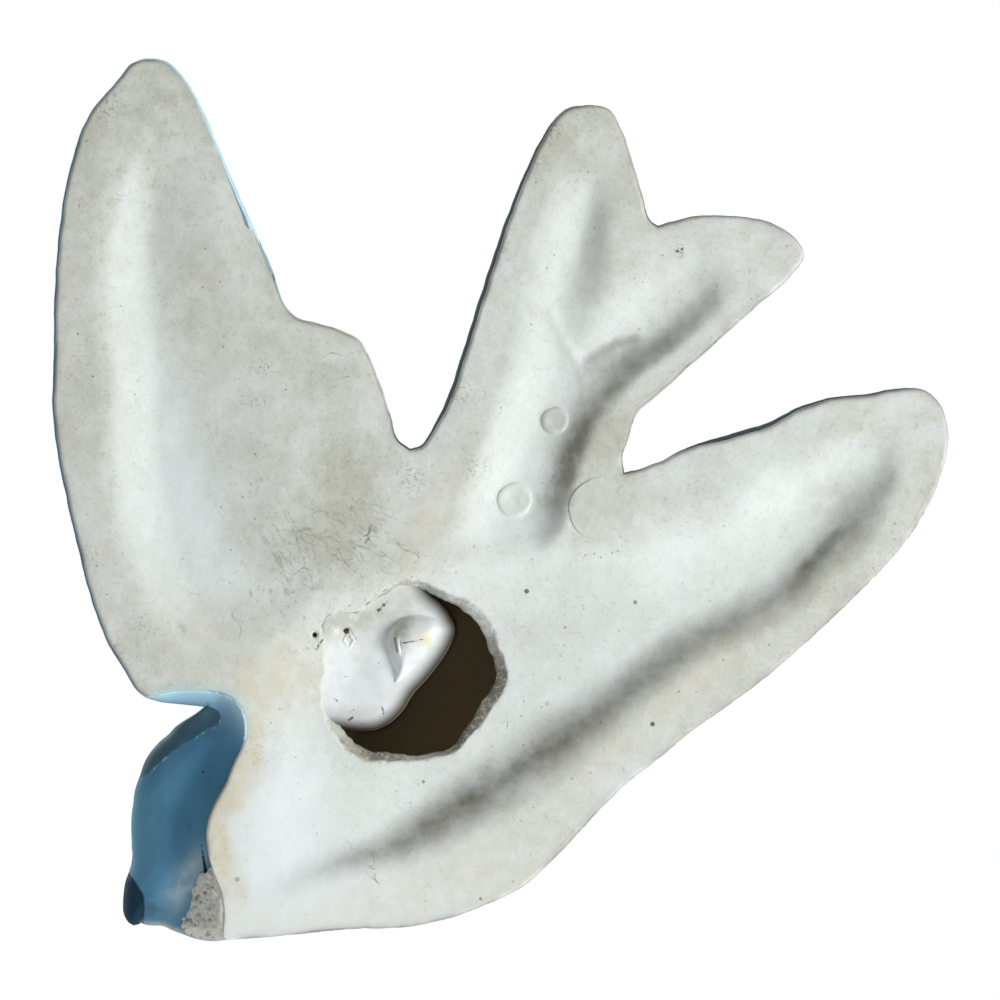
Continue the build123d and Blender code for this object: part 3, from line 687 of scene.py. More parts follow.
u, v = shares(LEFT_WING, x, z)
rim_line = track(u, [
    (-0.05, 0.74), (0.065, 0.80), (0.17, 0.84), (0.28, 0.83), (0.46, 0.70), (0.66, 0.60), (0.80, 0.34),
    (0.90, 0.1),
])
dirt_line = track(u, [
    (-0.1, -0.2), (0.03, -0.06), (0.16, 0.16), (0.27, 0.206), (0.44, 0.264), (0.64, 0.26), (0.80, 0.2),
    (0.9, 0.15),
])
wing_clean = ramp(0.25 + (rim_line - v) * LEFT_WING[3] / 5.0) * ramp((u + 0.05) / 0.1)
wing_clean *= ramp(0.4 + (v - dirt_line) * LEFT_WING[3] / 11.0)
u, v = shares(LEFT_PRONG, x, z)
clean_line = track(u, [
    (0.0, 0.55), (0.1, 0.52), (0.33, 0.42), (0.57, 0.43), (0.77, 0.34), (0.86, 0.1), (0.95, 0.0),
])
tail_clean = ramp(0.5 + (clean_line - v) * LEFT_PRONG[3] / 4.0) * ramp((v + 0.35) / 0.2)
tail_clean *= ramp(u / 0.12) * ramp((0.88 - u) / 0.08)
floor_clean = ramp((hollow(x, z) - 1.2) / 2.6) * ramp((x + 24.0) / 16.0)
floor_clean *= 1.0 - 0.45 * spot(x, z, (74.0, 112.0), (20.0, 13.0), 30.0)
washed = np.maximum.reduce([wing_clean, floor_clean, 0.8 * tail_clean])
pull = [(1.0 / ((x - px) ** 2 + (z - pz) ** 2 + 60.0) ** 2, amount) for px, pz, amount in soiled]
handled = sum(weight * amount for weight, amount in pull) / sum(weight for weight, _ in pull)
# Dirt of handling, least in the washed hollows; on the front's shoulder the same field is painted shade.
dirt_and_shade = HANDLED_SHARE * handled * (1.0 - WASHED_SHARE * washed) + EVEN_FILM + patches(x, z, film_patches)

# Painted shade: walls of the hollows that face up and left, away from the lamp, are darkened, and so are the
# creases.
grime_and_shade = ramp((hollow(x - 0.7, z + 0.7) - hollow(x + 0.7, z - 0.7)) / 1.6) * (1.0 + patches(x, z, wall_shade_gain))
grime_and_shade += patches(x, z, grime_and_shade_patches)
grime_and_shade += 0.35 * beside(x, z, wing_dent, 2.0) + 0.5 * beside(x, z, tail_crease, 1.2)
near_neck = ramp((10.0 + 0.7 * ripple(x, z, 9.0, 14) - inside_by(np.stack([x, z], 1), back_edge)) / 6.0)
near_neck *= ramp((z + 76.0) / 22.0) * ramp((-10.0 - z) / 10.0) * ramp((-38.0 - x) / 8.0)
cream = np.clip(near_neck + patches(x, z, cream_patches), 0.0, 1.0)
band = np.exp(-edge_in / 1.2) * ramp((x + 77.0) / 6.0) * ramp((-44.0 - x) / 3.0)
band *= ramp((z + 27.0) / 10.0) * ramp((-2.0 - z) / 3.0)
bare_edge = np.exp(-edge_in / 0.7) * (1.0 - np.clip(2.0 * band, 0.0, 1.0)) * (1.0 - at_throat(x, z))
smut = sum(amount * spot(x, z, (px, pz), (size, size)) for px, pz, size, amount in smuts)

draw = np.random.default_rng(61)
strand_at = draw.uniform((-48.0, 24.0), (-12.0, 47.0), (STRANDS, 2))
strand_heading, strand_bend = draw.normal(-45.0, 22.0, STRANDS), draw.normal(0.0, 25.0, STRANDS)
strand_long = draw.uniform(9.0, 25.0, STRANDS)
strand = np.full(len(x), 9.0)
for at, heading, bend, long in zip(strand_at, strand_heading, strand_bend, strand_long):
    curl = 22.0 * np.sin(np.arange(STRAND_POINTS) * 1.7 + long)
    way = np.radians(heading + bend * np.linspace(-0.5, 0.5, STRAND_POINTS) + curl)
    line = at + np.cumsum(np.stack([np.cos(way), np.sin(way)], 1) * long / STRAND_POINTS, 0)
    near = away(x, z, line[STRAND_POINTS // 2]) < long
    strand[near] = np.minimum(strand[near], along_line(x[near], z[near], line))

# Dark marks: a scratch, a darker line along the hole's upper-left lip, and painted shade in the wire hole,
# two pits and a chip's shaded half.
lip_line = 0.12 - np.abs(np.concatenate([hole_out, np.full(on_walls, 9.0)]) - 0.35)
lip_line += 0.12 * ripple(x, z, 4.0, 62) - 9.0 * (x > -6.0) - 9.0 * (z < 11.0)
mark = np.maximum.reduce([
    0.75 - away(x, z, WIRE_HOLES[0]), 0.5 - away(x, z, (75.5, 119.7)), 0.45 - away(x, z, (76.9, 120.3)),
    0.06 - along_line(x, z, wire_scratch), 0.32 - along_line(x, z, wire_chip), lip_line,
])

raw = Shader("raw_plaster")
soil_at, lip_at = raw.field("dirt_and_shade"), raw.field("lip")
mottle, grain = raw.noise(5.0, 4.0, 0.6), raw.noise(1.1, 3.0, 0.6)
patchy = raw.step(raw.plus(raw.times(raw.noise(26.0, 4.0), 0.55), raw.times(mottle, 0.45)), 0.30, 0.70)
dirt = raw.times(soil_at, raw.plus(0.55, raw.times(patchy, 0.6)))
raw.colour = raw.blend(dirt, tone(246, 254, 254), tone(201, 202, 187))
raw.coat(raw.times(raw.step(grain, 0.50, 0.78), dirt, 0.55), tone(150, 150, 136))
# Grime and painted shade on the hollow walls and creases.
raw.coat(raw.times(raw.field("grime_and_shade"), raw.plus(0.38, raw.times(patchy, 0.5))), tone(138, 136, 124))
raw.coat(raw.times(raw.field("cream"), raw.step(mottle, 0.0, 0.75)), tone(222, 214, 188))
small_specks = raw.times(raw.specks(3.6, 0.13, 0.07, 0.60), 0.45)
all_specks = raw.math("MAXIMUM", small_specks, raw.specks(11.0, 0.075, 0.05, 0.52))
raw.coat(raw.times(all_specks, raw.plus(0.35, soil_at)), tone(112, 112, 102))
scratches = raw.math("MAXIMUM", raw.hairlines(13.0, 1.2, 0.006), raw.hairlines(24.0, 2.0, 0.0035))
scratches = raw.times(scratches, raw.step(raw.noise(9.0, 2.0), 0.58, 0.70))
raw.coat(raw.times(scratches, raw.field("scuff"), 0.75), tone(140, 141, 132))
raw.coat(raw.times(raw.field("edge"), raw.step(raw.noise(14.0, 2.0), 0.25, 0.75)), tone(132, 132, 122))
smudges = raw.step(raw.noise(1.0, 2.0, 0.6), 0.52, 0.66)
raw.coat(raw.times(raw.field("smut"), smudges, 0.75), tone(108, 108, 98))
hairs = raw.times(raw.step(raw.field("strand"), 0.30, 0.05), raw.step(raw.noise(3.0, 2.0), 0.36, 0.56))
raw.coat(raw.times(hairs, 0.42), tone(130, 131, 121))
# The hole's wall, darker on its shaded side: painted shade.
raw.coat(raw.times(raw.field("hole_wall_shade"), 0.95), tone(124, 122, 110))
raw.coat(raw.times(lip_at, raw.step(raw.noise(1.3, 3.0, 0.7), 0.46, 0.68)), tone(196, 188, 168))
raw.coat(raw.times(raw.field("band"), 0.75), tone(172, 214, 226))
# Dark marks, partly painted shade in holes, pits and a chip.
raw.coat(raw.times(raw.step(raw.field("mark"), -0.1, 0.15), 0.85), tone(84, 78, 66))
normal = raw.bump(grain, 0.05, raw.bump(raw.noise(2.4, 4.0, 0.6), 0.10))
normal = raw.bump(raw.times(raw.step(raw.cells(1.7)[0], 0.05, 0.30), lip_at), 0.10, normal)
normal = raw.bump(raw.math("SUBTRACT", 1.0, scratches), 0.05, normal)
raw.finish(normal, {"Roughness": 0.88, "Specular IOR Level": 0.25})
piece("raw_back", back_corners, back_faces, {
    "dirt_and_shade": dirt_and_shade, "cream": cream, "edge": bare_edge, "lip": lip, "hole_wall_shade": hole_wall_shade, "band": band, "grime_and_shade": grime_and_shade,
    "scuff": patches(x, z, scuff_patches) + 0.35, "mark": mark, "strand": strand, "smut": smut,
}, "back_casting", raw.material)

# Painted front: the bird's face, a hollow plaster casting airbrushed in blues with a navy cap and beak.
# From behind it shows at the head, as chipped paint along the rim and, in the hole, as the white shoulder of
# the pour beside the dark hollow of the body.
SEAM = 9.8
FACE = 13.3
DEEPEST = 52.4
BODY = ((3.0, -11.0), 45.0)
HEAD = ((-62.0, -44.0), 262.0)
RIM_WALL = (0.3, 0.7)
SHOULDER_RINGS = (-0.5, 0.0, 0.35, 0.7)
MOUND_RINGS = (-0.35, 0.0, 0.35)

shoulder_run = [
    (-6.0, 33.0), (1.0, 26.0), (4.2, 21.4), (7.3, 18.3), (9.9, 14.4), (11.0, 11.7), (9.9, 7.8), (6.8, 2.6),
    (2.9, -2.3), (-1.0, -6.6), (-3.7, -11.0), (-6.7, -14.1), (-10.7, -16.2), (-15.9, -16.6), (-20.7, -16.0),
    (-28.0, -15.0), (-38.0, -4.0), (-40.0, 14.0), (-28.0, 30.0), (-16.0, 36.0),
]
mound_run = [
    (-0.1, 15.7), (3.5, 15.5), (6.4, 14.6), (8.2, 12.5), (7.6, 9.0), (4.6, 4.2), (0.0, 0.4), (-3.4, -2.6),
    (-5.0, -3.8), (-5.1, -0.9), (-6.7, 3.4), (-7.4, 7.8), (-6.9, 11.0), (-5.4, 13.1), (-3.2, 14.8),
]
cap_run = [
    (-57.2, -10.9), (-55.6, -12.0), (-55.0, -13.5), (-55.5, -15.0), (-59.9, -17.5), (-64.3, -20.6),
    (-68.7, -23.3), (-72.5, -26.4), (-77.4, -30.6), (-82.0, -32.0), (-78.0, -22.0), (-70.0, -14.5),
    (-63.0, -11.4), (-59.2, -10.3),
]
beak_run = [
    (-81.4, -58.5), (-79.2, -61.5), (-77.2, -64.9), (-76.9, -67.9), (-77.1, -71.3), (-78.0, -76.0),
    (-86.0, -75.0), (-86.0, -57.0),
]
# How much navy and sky-blue paint is left along the rim, as (share of a limb's run, amount).
rim_navy = {
    "left_wing": [
        (0.0, 0.0), (0.05, 0.0), (0.09, 0.8), (0.3, 0.9), (0.5, 1.0), (0.57, 0.6), (0.6, 0.0), (0.95, 0.0),
        (0.98, 0.8), (1.0, 1.0),
    ],
    "left_prong": [(0.0, 1.0), (0.6, 1.0), (0.68, 0.6), (0.72, 0.2), (0.8, 0.3), (1.0, 0.5)],
    "right_prong": [(0.0, 0.8), (0.06, 0.5), (0.2, 0.3), (0.3, 0.5), (0.36, 0.2), (1.0, 0.1)],
    "right_wing": [
        (0.0, 1.0), (0.2, 1.0), (0.23, 0.5), (0.26, 0.25), (0.3, 0.1), (0.9, 0.1), (0.96, 0.0), (1.0, 0.0),
    ],
}
rim_sky = {
    "left_wing": [
        (0.0, 1.0), (0.05, 1.0), (0.08, 0.2), (0.1, 0.0), (0.6, 0.0), (0.63, 0.6), (0.8, 1.0), (0.83, 0.6),
        (0.85, 0.0), (1.0, 0.0),
    ],
}
# Darker blue patches on the back of the head: beside the beak, and below the cap, where the latter is painted
# shade.
head_darker_patches = [(0.35, -74.5, -68.5, 5.0, 3.5, 0.0), (0.15, -66.0, -24.5, 9.0, 4.0, 35.0)]
# Darker patches on the shoulder: painted shade on the mound's left flank and under the hole's upper wall, and
# three more darker patches.
shoulder_shade_patches = [
    (1.0, -22.0, 14.0, 11.0, 5.5, 12.0), (1.2, -3.6, 10.6, 4.5, 3.6, 60.0), (0.5, 0.0, 21.5, 8.0, 4.0, 0.0),
    (0.5, -12.0, 15.5, 9.0, 4.0, 15.0), (0.4, 4.0, 8.0, 4.0, 3.0, 30.0),
]
# Dark flecks in the shoulder's plaster as (x, z, radius), and strokes as (line, half width).
# The first fleck is painted shade in the second wire hole; the last two strokes are painted shadow beside the
# raised sliver.
flecks = [
    (*WIRE_HOLES[1], 0.5), (-8.6, 18.4, 0.35), (-10.2, 17.2, 0.3), (-8.3, 18.6, 0.5), (-9.4, 17.4, 0.45),
    (-10.0, 16.6, 0.3), (-7.4, 19.6, 0.3), (-8.8, 16.2, 0.25), (-14.6, -15.6, 0.3),
]
strokes = [
    ([(-2.8, 7.7), (2.9, 8.7)], 0.22), ([(-8.9, -10.6), (-8.4, -12.6)], 0.28),
    ([(-18.4, -14.4), (-17.2, -13.6)], 0.34), ([(-22.6, -8.2), (-21.6, -9.1)], 0.24),
    ([(-20.1, -2.3), (-18.9, -1.7)], 0.16), ([(-17.9, -12.1), (-16.6, -11.3)], 0.14),
    ([(-10.2, 1.6), (-9.0, 2.8)], 0.12), ([(-5.3, 9.2), (-4.5, 5.0)], 0.2),
    ([(-3.6, 8.2), (-3.2, 5.2)], 0.14),
]


def oval(x, z, place, half):
    """Height of a round cap over an oval: the root of one less the square of the share from its middle."""
    (at, heading), (long, wide) = place, half
    run, rise = np.cos(np.radians(heading)), np.sin(np.radians(heading))
    along = (x - at[0]) * run + (z - at[1]) * rise
    across = (z - at[1]) * run - (x - at[0]) * rise
    return np.sqrt(np.clip(1.0 - (along / long) ** 2 - (across / wide) ** 2, 0.0, 1.0))


def quarter_round(share):
    """Drop of a rounded edge, from 0 to 1: one less the root of one less the share squared."""
    return 1.0 - np.sqrt(1.0 - np.clip(share, 0.0, 1.0) ** 2)


def swelling(limb, place, rise, spans, x, z):
    """Height of a shallow oval swelling on a limb: rise less the drop of a bow, out to its two spans."""
    u, v = shares(limb, x, z)
    bow = 1.0 - ((u - place[0]) / spans[0]) ** 2 - ((v - place[1]) / spans[1]) ** 2
    return rise * np.clip(bow, 0.0, 1.0) ** 0.8


def feathers(limb, lean, count, part, x, z):
    """Grooves of long feathers: 1 on slanting lines spaced evenly along a limb, where its part is above 0."""
    u, v = shares(limb, x, z)
    turn = (u + lean * v + 0.04 * np.sin(4.0 * v)) * count
    off = np.abs(turn - np.round(turn)) * limb[2] / count
    on_limb = ramp((u - 0.05) / 0.15) * ramp((0.98 - u) / 0.1) * ramp(part / 4.0)
    return np.exp(-((off / 0.9) ** 2)) * on_limb


def diamond(x, z):
    """How far a point is off the outline of the diamond chip by the wire hole, as a share of its size."""
    return np.abs(np.abs(x + 18.4) / 1.5 + np.abs(z - 8.5) / 2.4 - 1.0)


shoulder_edge = smooth_run(shoulder_run, shoulder_run[0], 0.5)
shoulder_edge = shoulder_edge + 0.7 * outward(shoulder_edge)
mound_edge = smooth_run(mound_run, mound_run[0], 0.4)
front_net = net_points(PLAN_BOX, 1.3, [
    (-64.0, -42.0, 37.0, 0.75), (0.0, 0.0, 29.0, 0.65), (*WIRE_HOLES[1], 3.6, 0.3), (-18.4, 8.6, 2.0, 0.3),
    (-4.4, 6.9, 3.4, 0.3),
])
front_net = front_net[inside_by(front_net, silhouette) > 1.0]
front_net = front_net[np.abs(inside_by(front_net, shoulder_edge)) > 1.0]
front_net = front_net[np.abs(inside_by(front_net, mound_edge)) > 0.7]
rim_rings = np.concatenate([silhouette - outward(silhouette) * inward for inward in (0.3, 0.8)])
rim_rings = rim_rings[inside_by(rim_rings, silhouette) > 0.22]
inner_rings = [shoulder_edge + outward(shoulder_edge) * out for out in SHOULDER_RINGS]
inner_rings += [mound_edge + outward(mound_edge) * out for out in MOUND_RINGS]
front_plan, front_plan_faces = plan_net([silhouette], np.concatenate([rim_rings, front_net, *inner_rings]))
x, z = front_plan.T
inset = np.maximum(inside_by(front_plan, silhouette), 0.0)
past_back = -inside_by(front_plan, back_edge)
headward = ramp((-11.0 - z) / 7.0) * ramp((-46.0 - x) / 6.0)

in_shoulder, in_mound = inside_by(front_plan, shoulder_edge), inside_by(front_plan, mound_edge)
cavity = np.maximum(5.8 + 38.0 * oval(x, z, BODY, (69.0, 38.0)), SEAM)
mound = 4.4 * (1.0 - (1.0 - np.clip(in_mound / 7.0, 0.0, 1.0)) ** 3.0)
flush = ramp((-8.0 - x) / 17.0) * ramp((z + 16.0) / 14.0)
shoulder = 6.0 + (back_depth(x, z) + 0.15 - 6.0) * flush - mound
shoulder += 5.0 * quarter_round((5.0 - in_shoulder) / 5.0) + 40.0 * np.maximum(-in_shoulder, 0.0)
shoulder += 0.06 * ripple(x, z, 9.0, 31) - 1.1 * spot(x, z, (-4.3, 7.0), (2.4, 0.5), 98.0)
shoulder += 2.4 * (1.0 - ramp((away(x, z, WIRE_HOLES[1]) - 0.35) / 0.6))
shoulder -= 0.45 * (1.0 - ramp(diamond(x, z) / 0.35)) - 0.15 * (1.0 - ramp((diamond(x, z) - 0.5) / 0.3))
shoulder += (SEAM - shoulder) * ramp((-inside_by(front_plan, hole) - 0.8) / 1.2)
inner = np.minimum(cavity, np.where(in_shoulder > -6.0, shoulder, 99.0))

head_seam = 9.9 + 0.5 * headward
pillow = (1.3 + 9.0 * headward) * quarter_round(1.0 - inset / (2.0 + 10.0 * headward))
skirt = ramp((z + 30.0) / 12.0) * ramp((x + 80.0) / 4.0) * ramp((-44.0 - x) / 3.0)
bare_head = head_seam + pillow - skirt * np.exp(-np.maximum(past_back, 0.0) / 4.2) * (head_seam - 0.9)
cheek = headward * np.exp(-np.maximum(past_back, 0.0) / 7.0)
cheek *= ramp((z + 66.0) / 12.0) * ramp((-24.0 - z) / 8.0)
bare_head += 2.0 * np.maximum(-past_back - 0.1, 0.0) - 3.0 * cheek
bare_head += 0.10 * ripple(x, z, 16.0, 33) + 0.04 * ripple(x, z, 4.0, 34)
inner = inner + (bare_head - inner) * ramp((past_back + 1.8) / 0.8) * (x < -40.0)

dome = np.maximum(5.8 + 46.0 * oval(x, z, BODY, (77.0, 46.0)) - FACE, 0.0)
nape = ramp((-11.0 - z) / 9.0) * ramp((-34.0 - x) / 20.0)
brow = 1.0 - quarter_round(1.0 - inset / 11.0)
skull = (17.6 * brow + 21.0 * oval(x, z, HEAD, (38.0, 21.0))) * nape
swellings = [
    swelling(LEFT_WING, (0.37, 0.32), 9.0, (0.53, 0.70), x, z),
    swelling(RIGHT_WING, (0.42, 0.10), 8.0, (0.54, 0.90), x, z),
    swelling(LEFT_PRONG, (0.45, 0.12), 5.0, (0.49, 0.60), x, z),
    swelling(RIGHT_PRONG, (0.52, 0.45), 5.0, (0.41, 0.48), x, z), dome, skull,
]
wing_top = 57.0 + 0.37 * np.maximum(x - 60.0, 0.0)
grooves = np.maximum.reduce([
    feathers(LEFT_WING, 0.30, 11, -1.0 - x, x, z), feathers(RIGHT_WING, -0.30, 10, wing_top - z, x, z),
    feathers(LEFT_PRONG, 0.12, 5, np.minimum(z - wing_top, x + 1.0), x, z),
])
grooves *= 1.0 - ramp(oval(x, z, BODY, (84.0, 52.0)) / 0.3)
outer = FACE + sum(rise**3 for rise in swellings) ** (1.0 / 3.0)
outer -= (1.0 - ramp(inset / 2.0)) * (1.0 - headward)
outer += 0.12 * ripple(x, z, 24.0, 35) * ramp(inset / 3.0) - 0.5 * grooves * ramp((inset - 2.0) / 3.0)
outer = np.minimum(np.maximum(outer, inner + 1.5), DEEPEST)

rim_count, plan_count = len(silhouette), len(front_plan)
bulged = silhouette + outward(silhouette) * 0.25
rim_wall = [raised(bulged, (inner + (outer - inner) * share)[:rim_count]) for share in RIM_WALL]
front_corners = [raised(front_plan, inner), raised(front_plan, outer)]
front_faces = [front_plan_faces, front_plan_faces[:, ::-1] + plan_count]
rim_row = add_rings(front_corners, front_faces, np.arange(rim_count), rim_wall, True)
front_faces.append(strip(np.arange(plan_count, plan_count + rim_count), rim_row))
front_corners, front_faces = np.concatenate(front_corners), np.concatenate(front_faces)

x, y, z = front_corners.T
flat = np.stack([x, z], 1)
on_rim = np.zeros(2 * rim_count)
behind = np.concatenate([np.ones(plan_count), np.zeros(plan_count), 1.0 - np.repeat(RIM_WALL, rim_count)])
from_behind = behind == 1.0
inset = np.concatenate([inset, inset, on_rim])
past_back = np.concatenate([past_back, past_back, np.tile(past_back[:rim_count], 2)])
nearest = np.concatenate([
    np.argmin(np.hypot(*(block[:, None] - silhouette[None]).transpose(2, 0, 1)), 1)
    for block in np.array_split(flat, len(flat) // 1500)
])
navy_rim, sky_rim = round_edge(rim_navy)[nearest], round_edge(rim_sky)[nearest]
on_head = ramp((past_back + 0.5) / 0.5) * (x < -44.0)
rim = np.exp(-((inset / 3.5) ** 2)) * (1.0 - on_head)
unpainted = from_behind * (1.0 - on_head) * ramp((inset - 2.0) / 1.5)
worn = (1.0 - np.clip(navy_rim + sky_rim, 0.0, 1.0)) * (behind > 0.0) * (1.0 - on_head)
chin = np.exp(-((inset / 0.9) ** 2)) * ramp((-66.0 - z) / 4.0) * ramp((x + 79.0) / 3.0) * (x < -50.0)
worn = np.clip(worn + 0.85 * chin * behind, 0.0, 1.0)
front_edge = np.exp(-inset / 7.0) * (1.0 - behind) * (1.0 - on_head)
# Navy paint on rim, grooves and front edge, with darker patches on the back of the head, partly painted
# shade.
navy_and_shade = navy_rim * rim * (behind < 1.0) + front_edge + 0.8 * np.concatenate([0.0 * grooves, grooves, on_rim])
navy_and_shade = np.clip(navy_and_shade + from_behind * on_head * patches(x, z, head_darker_patches), 0.0, 1.0)
wall_sky = np.exp(-np.maximum(past_back, 0.0) / 3.6) * on_head
wall_sky *= ramp((z + 24.0) / 15.0) * ramp((x + 80.0) / 3.0)
front_sky = 0.8 * (1.0 - behind) * ramp(oval(x, z, BODY, (90.0, 50.0)) / 0.8)
sky = np.clip(0.35 * sky_rim * rim + wall_sky + front_sky, 0.0, 1.0)
pale = 0.9 * np.exp(-inset / 4.0) * on_head * ramp((-62.0 - x) / 8.0)
pale *= ramp((-26.0 - z) / 14.0) * ramp((z + 72.0) / 10.0)
dust = np.minimum(1.3 * spot(x, z, (-65.0, -60.5), (9.0, 3.4), 62.0), 1.0) * on_head * behind
cap = inside_by(flat, smooth_run(cap_run, cap_run[0], 0.6)) * on_head - 5.0 * (1.0 - on_head)
beak = inside_by(flat, smooth_run(beak_run, beak_run[0], 0.6))
crack_share = (-49.6 - z) / 9.9
crack = 0.15 + 0.45 * np.clip(crack_share, 0.0, 1.0) - np.abs(x + 60.7 - 1.6 * crack_share)
crack = np.where(from_behind & (z <= -49.6) & (z >= -59.8), crack, -9.0)
# Painted shade where the shoulder rounds away into the hollow, and along its lower side.
shoulder_edge_shade = np.maximum(ramp((5.4 - in_shoulder) / 5.8), 0.3 * ramp((-8.5 - front_plan[:, 1]) / 7.0))
shoulder_edge_shade *= ramp((in_shoulder + 0.3) / 0.3)
fleck_marks = [radius - away(x, z, (px, pz)) for px, pz, radius in flecks]
stroke_marks = [width - along_line(x, z, line) for line, width in strokes]

paint = Shader("painted_plaster")
mottle, bare_at = paint.noise(4.5, 4.0, 0.6), paint.field("bare")
paint.colour = paint.blend(paint.step(mottle, 0.35, 0.8), tone(243, 248, 247), tone(230, 235, 232))
# Darker patches on the shoulder, mostly painted shade.
paint.coat(paint.times(paint.field("dirt_and_shade"), paint.step(mottle, 0.2, 0.6)), tone(198, 200, 188))
paint.coat(paint.field("stain"), tone(236, 226, 150))
dark_marks = paint.times(paint.step(paint.field("mark"), -0.12, 0.12), paint.step(mottle, 0.2, 0.5))
paint.coat(dark_marks, tone(112, 106, 94))
# Painted shade on the lower right rim of the diamond chip.
paint.coat(paint.times(paint.step(paint.field("chip_rim_shade"), 0.05, 0.3), 0.6), tone(150, 146, 134))
paint.coat(paint.field("deep"), tone(168, 150, 116))
# Painted shade at the shoulder's turn into the hollow.
paint.coat(paint.field("turn"), tone(62, 57, 48))
bare_colour = paint.colour
cap_ragged = paint.times(paint.math("SUBTRACT", paint.noise(1.8, 2.0), 0.5), 0.9)
cap_at = paint.plus(paint.field("cap"), cap_ragged)
beak_at = paint.plus(paint.field("beak"), paint.times(paint.math("SUBTRACT", mottle, 0.5), 0.6))
cloudy = paint.step(paint.noise(16.0, 3.0), 0.30, 0.72)
paint.colour = paint.blend(cloudy, tone(83, 138, 174), tone(93, 150, 182))
paint.coat(paint.field("pale"), tone(124, 182, 208))
paint.coat(paint.times(paint.field("dust"), paint.step(mottle, 0.0, 0.75)), tone(190, 214, 224))
paint.coat(paint.field("sky"), tone(204, 241, 254))
# Painted light: the navy rim, where it faces back, is painted a lighter grey-blue to stand lit in the shade
# of the back's wall.
paint.coat(paint.field("rim"), tone(124, 136, 140))
paint.coat(paint.times(paint.field("navy_and_shade"), paint.plus(0.6, paint.step(mottle, 0.3, 0.6))), tone(54, 62, 68))
paint.coat(paint.step(cap_at, -0.12, 0.12), paint.blend(mottle, tone(62, 95, 111), tone(86, 120, 136)))
cap_chips = paint.step(paint.math("ABSOLUTE", paint.plus(cap_at, 0.25)), 0.42, 0.18)
cap_chips = paint.times(cap_chips, paint.step(paint.noise(2.2, 2.0), 0.54, 0.60))
paint.coat(paint.times(cap_chips, paint.step(paint.field("inset"), 0.6, 1.6)), tone(150, 182, 192))
paint.coat(paint.step(beak_at, -0.3, 0.3), tone(31, 63, 82))
nicks = paint.specks(5.0, 0.10, 0.05, 0.62)
paint.coat(paint.times(nicks, 0.8), tone(28, 48, 60))
rubbed = paint.times(paint.field("worn"), paint.step(paint.noise(1.6, 3.0), 0.30, 0.50))
paint.coat(rubbed, tone(206, 206, 194))
paint.coat(bare_at, bare_colour)
paint.coat(paint.step(paint.field("crack"), -0.10, 0.10), tone(40, 48, 54))
normal = paint.bump(paint.noise(0.9, 3.0, 0.6), 0.03, paint.bump(paint.noise(2.0, 4.0, 0.6), 0.06))
normal = paint.bump(paint.math("SUBTRACT", 1.0, nicks), 0.15, normal)
paint.finish(normal, {"Roughness": paint.plus(0.7, paint.times(bare_at, 0.2)), "Specular IOR Level": 0.12})
piece("painted_front", front_corners, front_faces, {
    "cap": cap, "beak": beak, "inset": inset, "navy_and_shade": navy_and_shade, "sky": sky, "pale": pale, "worn": worn,
    "dust": dust, "bare": unpainted, "crack": crack,
    # Rim paint seen from behind, lightened: painted light.
    "rim": np.clip(1.3 * navy_rim * rim * from_behind, 0.0, 1.0),
    "deep": ramp((y - 10.2) / 3.0), "turn": np.concatenate([shoulder_edge_shade, np.zeros(len(x) - plan_count)]),
    "stain": 0.6 * spot(x, z, (3.6, 8.7), (1.6, 1.8)), "dirt_and_shade": patches(x, z, shoulder_shade_patches),
    "mark": np.maximum.reduce(fleck_marks + stroke_marks),
    "chip_rim_shade": 0.35 - np.abs(diamond(x, z) - 0.5) - 9.0 * (x + 0.4 * z < -15.2),
}, "front_casting", paint.material)

# Plugs and patch: three pour or mend holes in the back, stopped with plaster. The two plugs in the tail stem
# stand a little proud and are rounded by a thumb; the wide patch beside the tail's root is scraped flush.
DISC_SIDES = 72
THUMB_DENT = 0.35


def fan(middle, row):
    """Triangles from a middle corner to a closed row, facing along the row's own turn."""
    return np.stack([np.full(len(row), middle), row, np.roll(row, -1)], 1)


def disc(name, place, rise, rounding, dirt_and_shade, node, material, dent=0.0):
    """Makes a round pad on the back: its rings follow the hollow, less the rise, to a quarter-round edge."""
    px, pz, radius = place
    turn = np.linspace(0.0, -2.0 * np.pi, DISC_SIDES, endpoint=False)
    bow = radius - rounding + rounding * np.sin(np.linspace(0.2, np.pi / 2.0, 7))
    rings = np.concatenate([np.linspace(0.12, radius - rounding, 9), bow])
    wobble = 1.0 + 0.02 * np.sin(2.0 * turn + 1.0) + 0.012 * np.sin(5.0 * turn)
    x, z = px + np.outer(rings, wobble * np.cos(turn)), pz + np.outer(rings, wobble * np.sin(turn))
    edge = rounding * quarter_round((rings - radius + rounding) / rounding)
    y = np.maximum(hollow(x, z), 0.0) - rise + 0.05 * ripple(x, z, 3.0, 41)
    y += (edge + dent * np.exp(-((rings / (0.5 * radius)) ** 2)))[:, None]
    x, y, z = (np.concatenate([part, part[-1:]]) for part in (x, y, z))
    y[-1] = BACK_UNDERSIDE - 0.5
    rows = np.arange(x.size).reshape(x.shape)
    middles = np.array([[px, y[0].mean(), pz], [px, y[-1, 0], pz]])
    corners = np.concatenate([np.stack([x.ravel(), y.ravel(), z.ravel()], 1), middles])
    faces = [strip(outer_row, inner_row) for inner_row, outer_row in zip(rows[:-1], rows[1:])]
    faces += [fan(x.size, rows[0])[:, ::-1], fan(x.size + 1, rows[-1])]
    from_edge = away(corners[:, 0], corners[:, 2], place) - radius
    fields = {"out": from_edge, "dirt_and_shade": np.full(len(corners), dirt_and_shade)}
    piece(name, corners, np.concatenate(faces), fields, node, material)


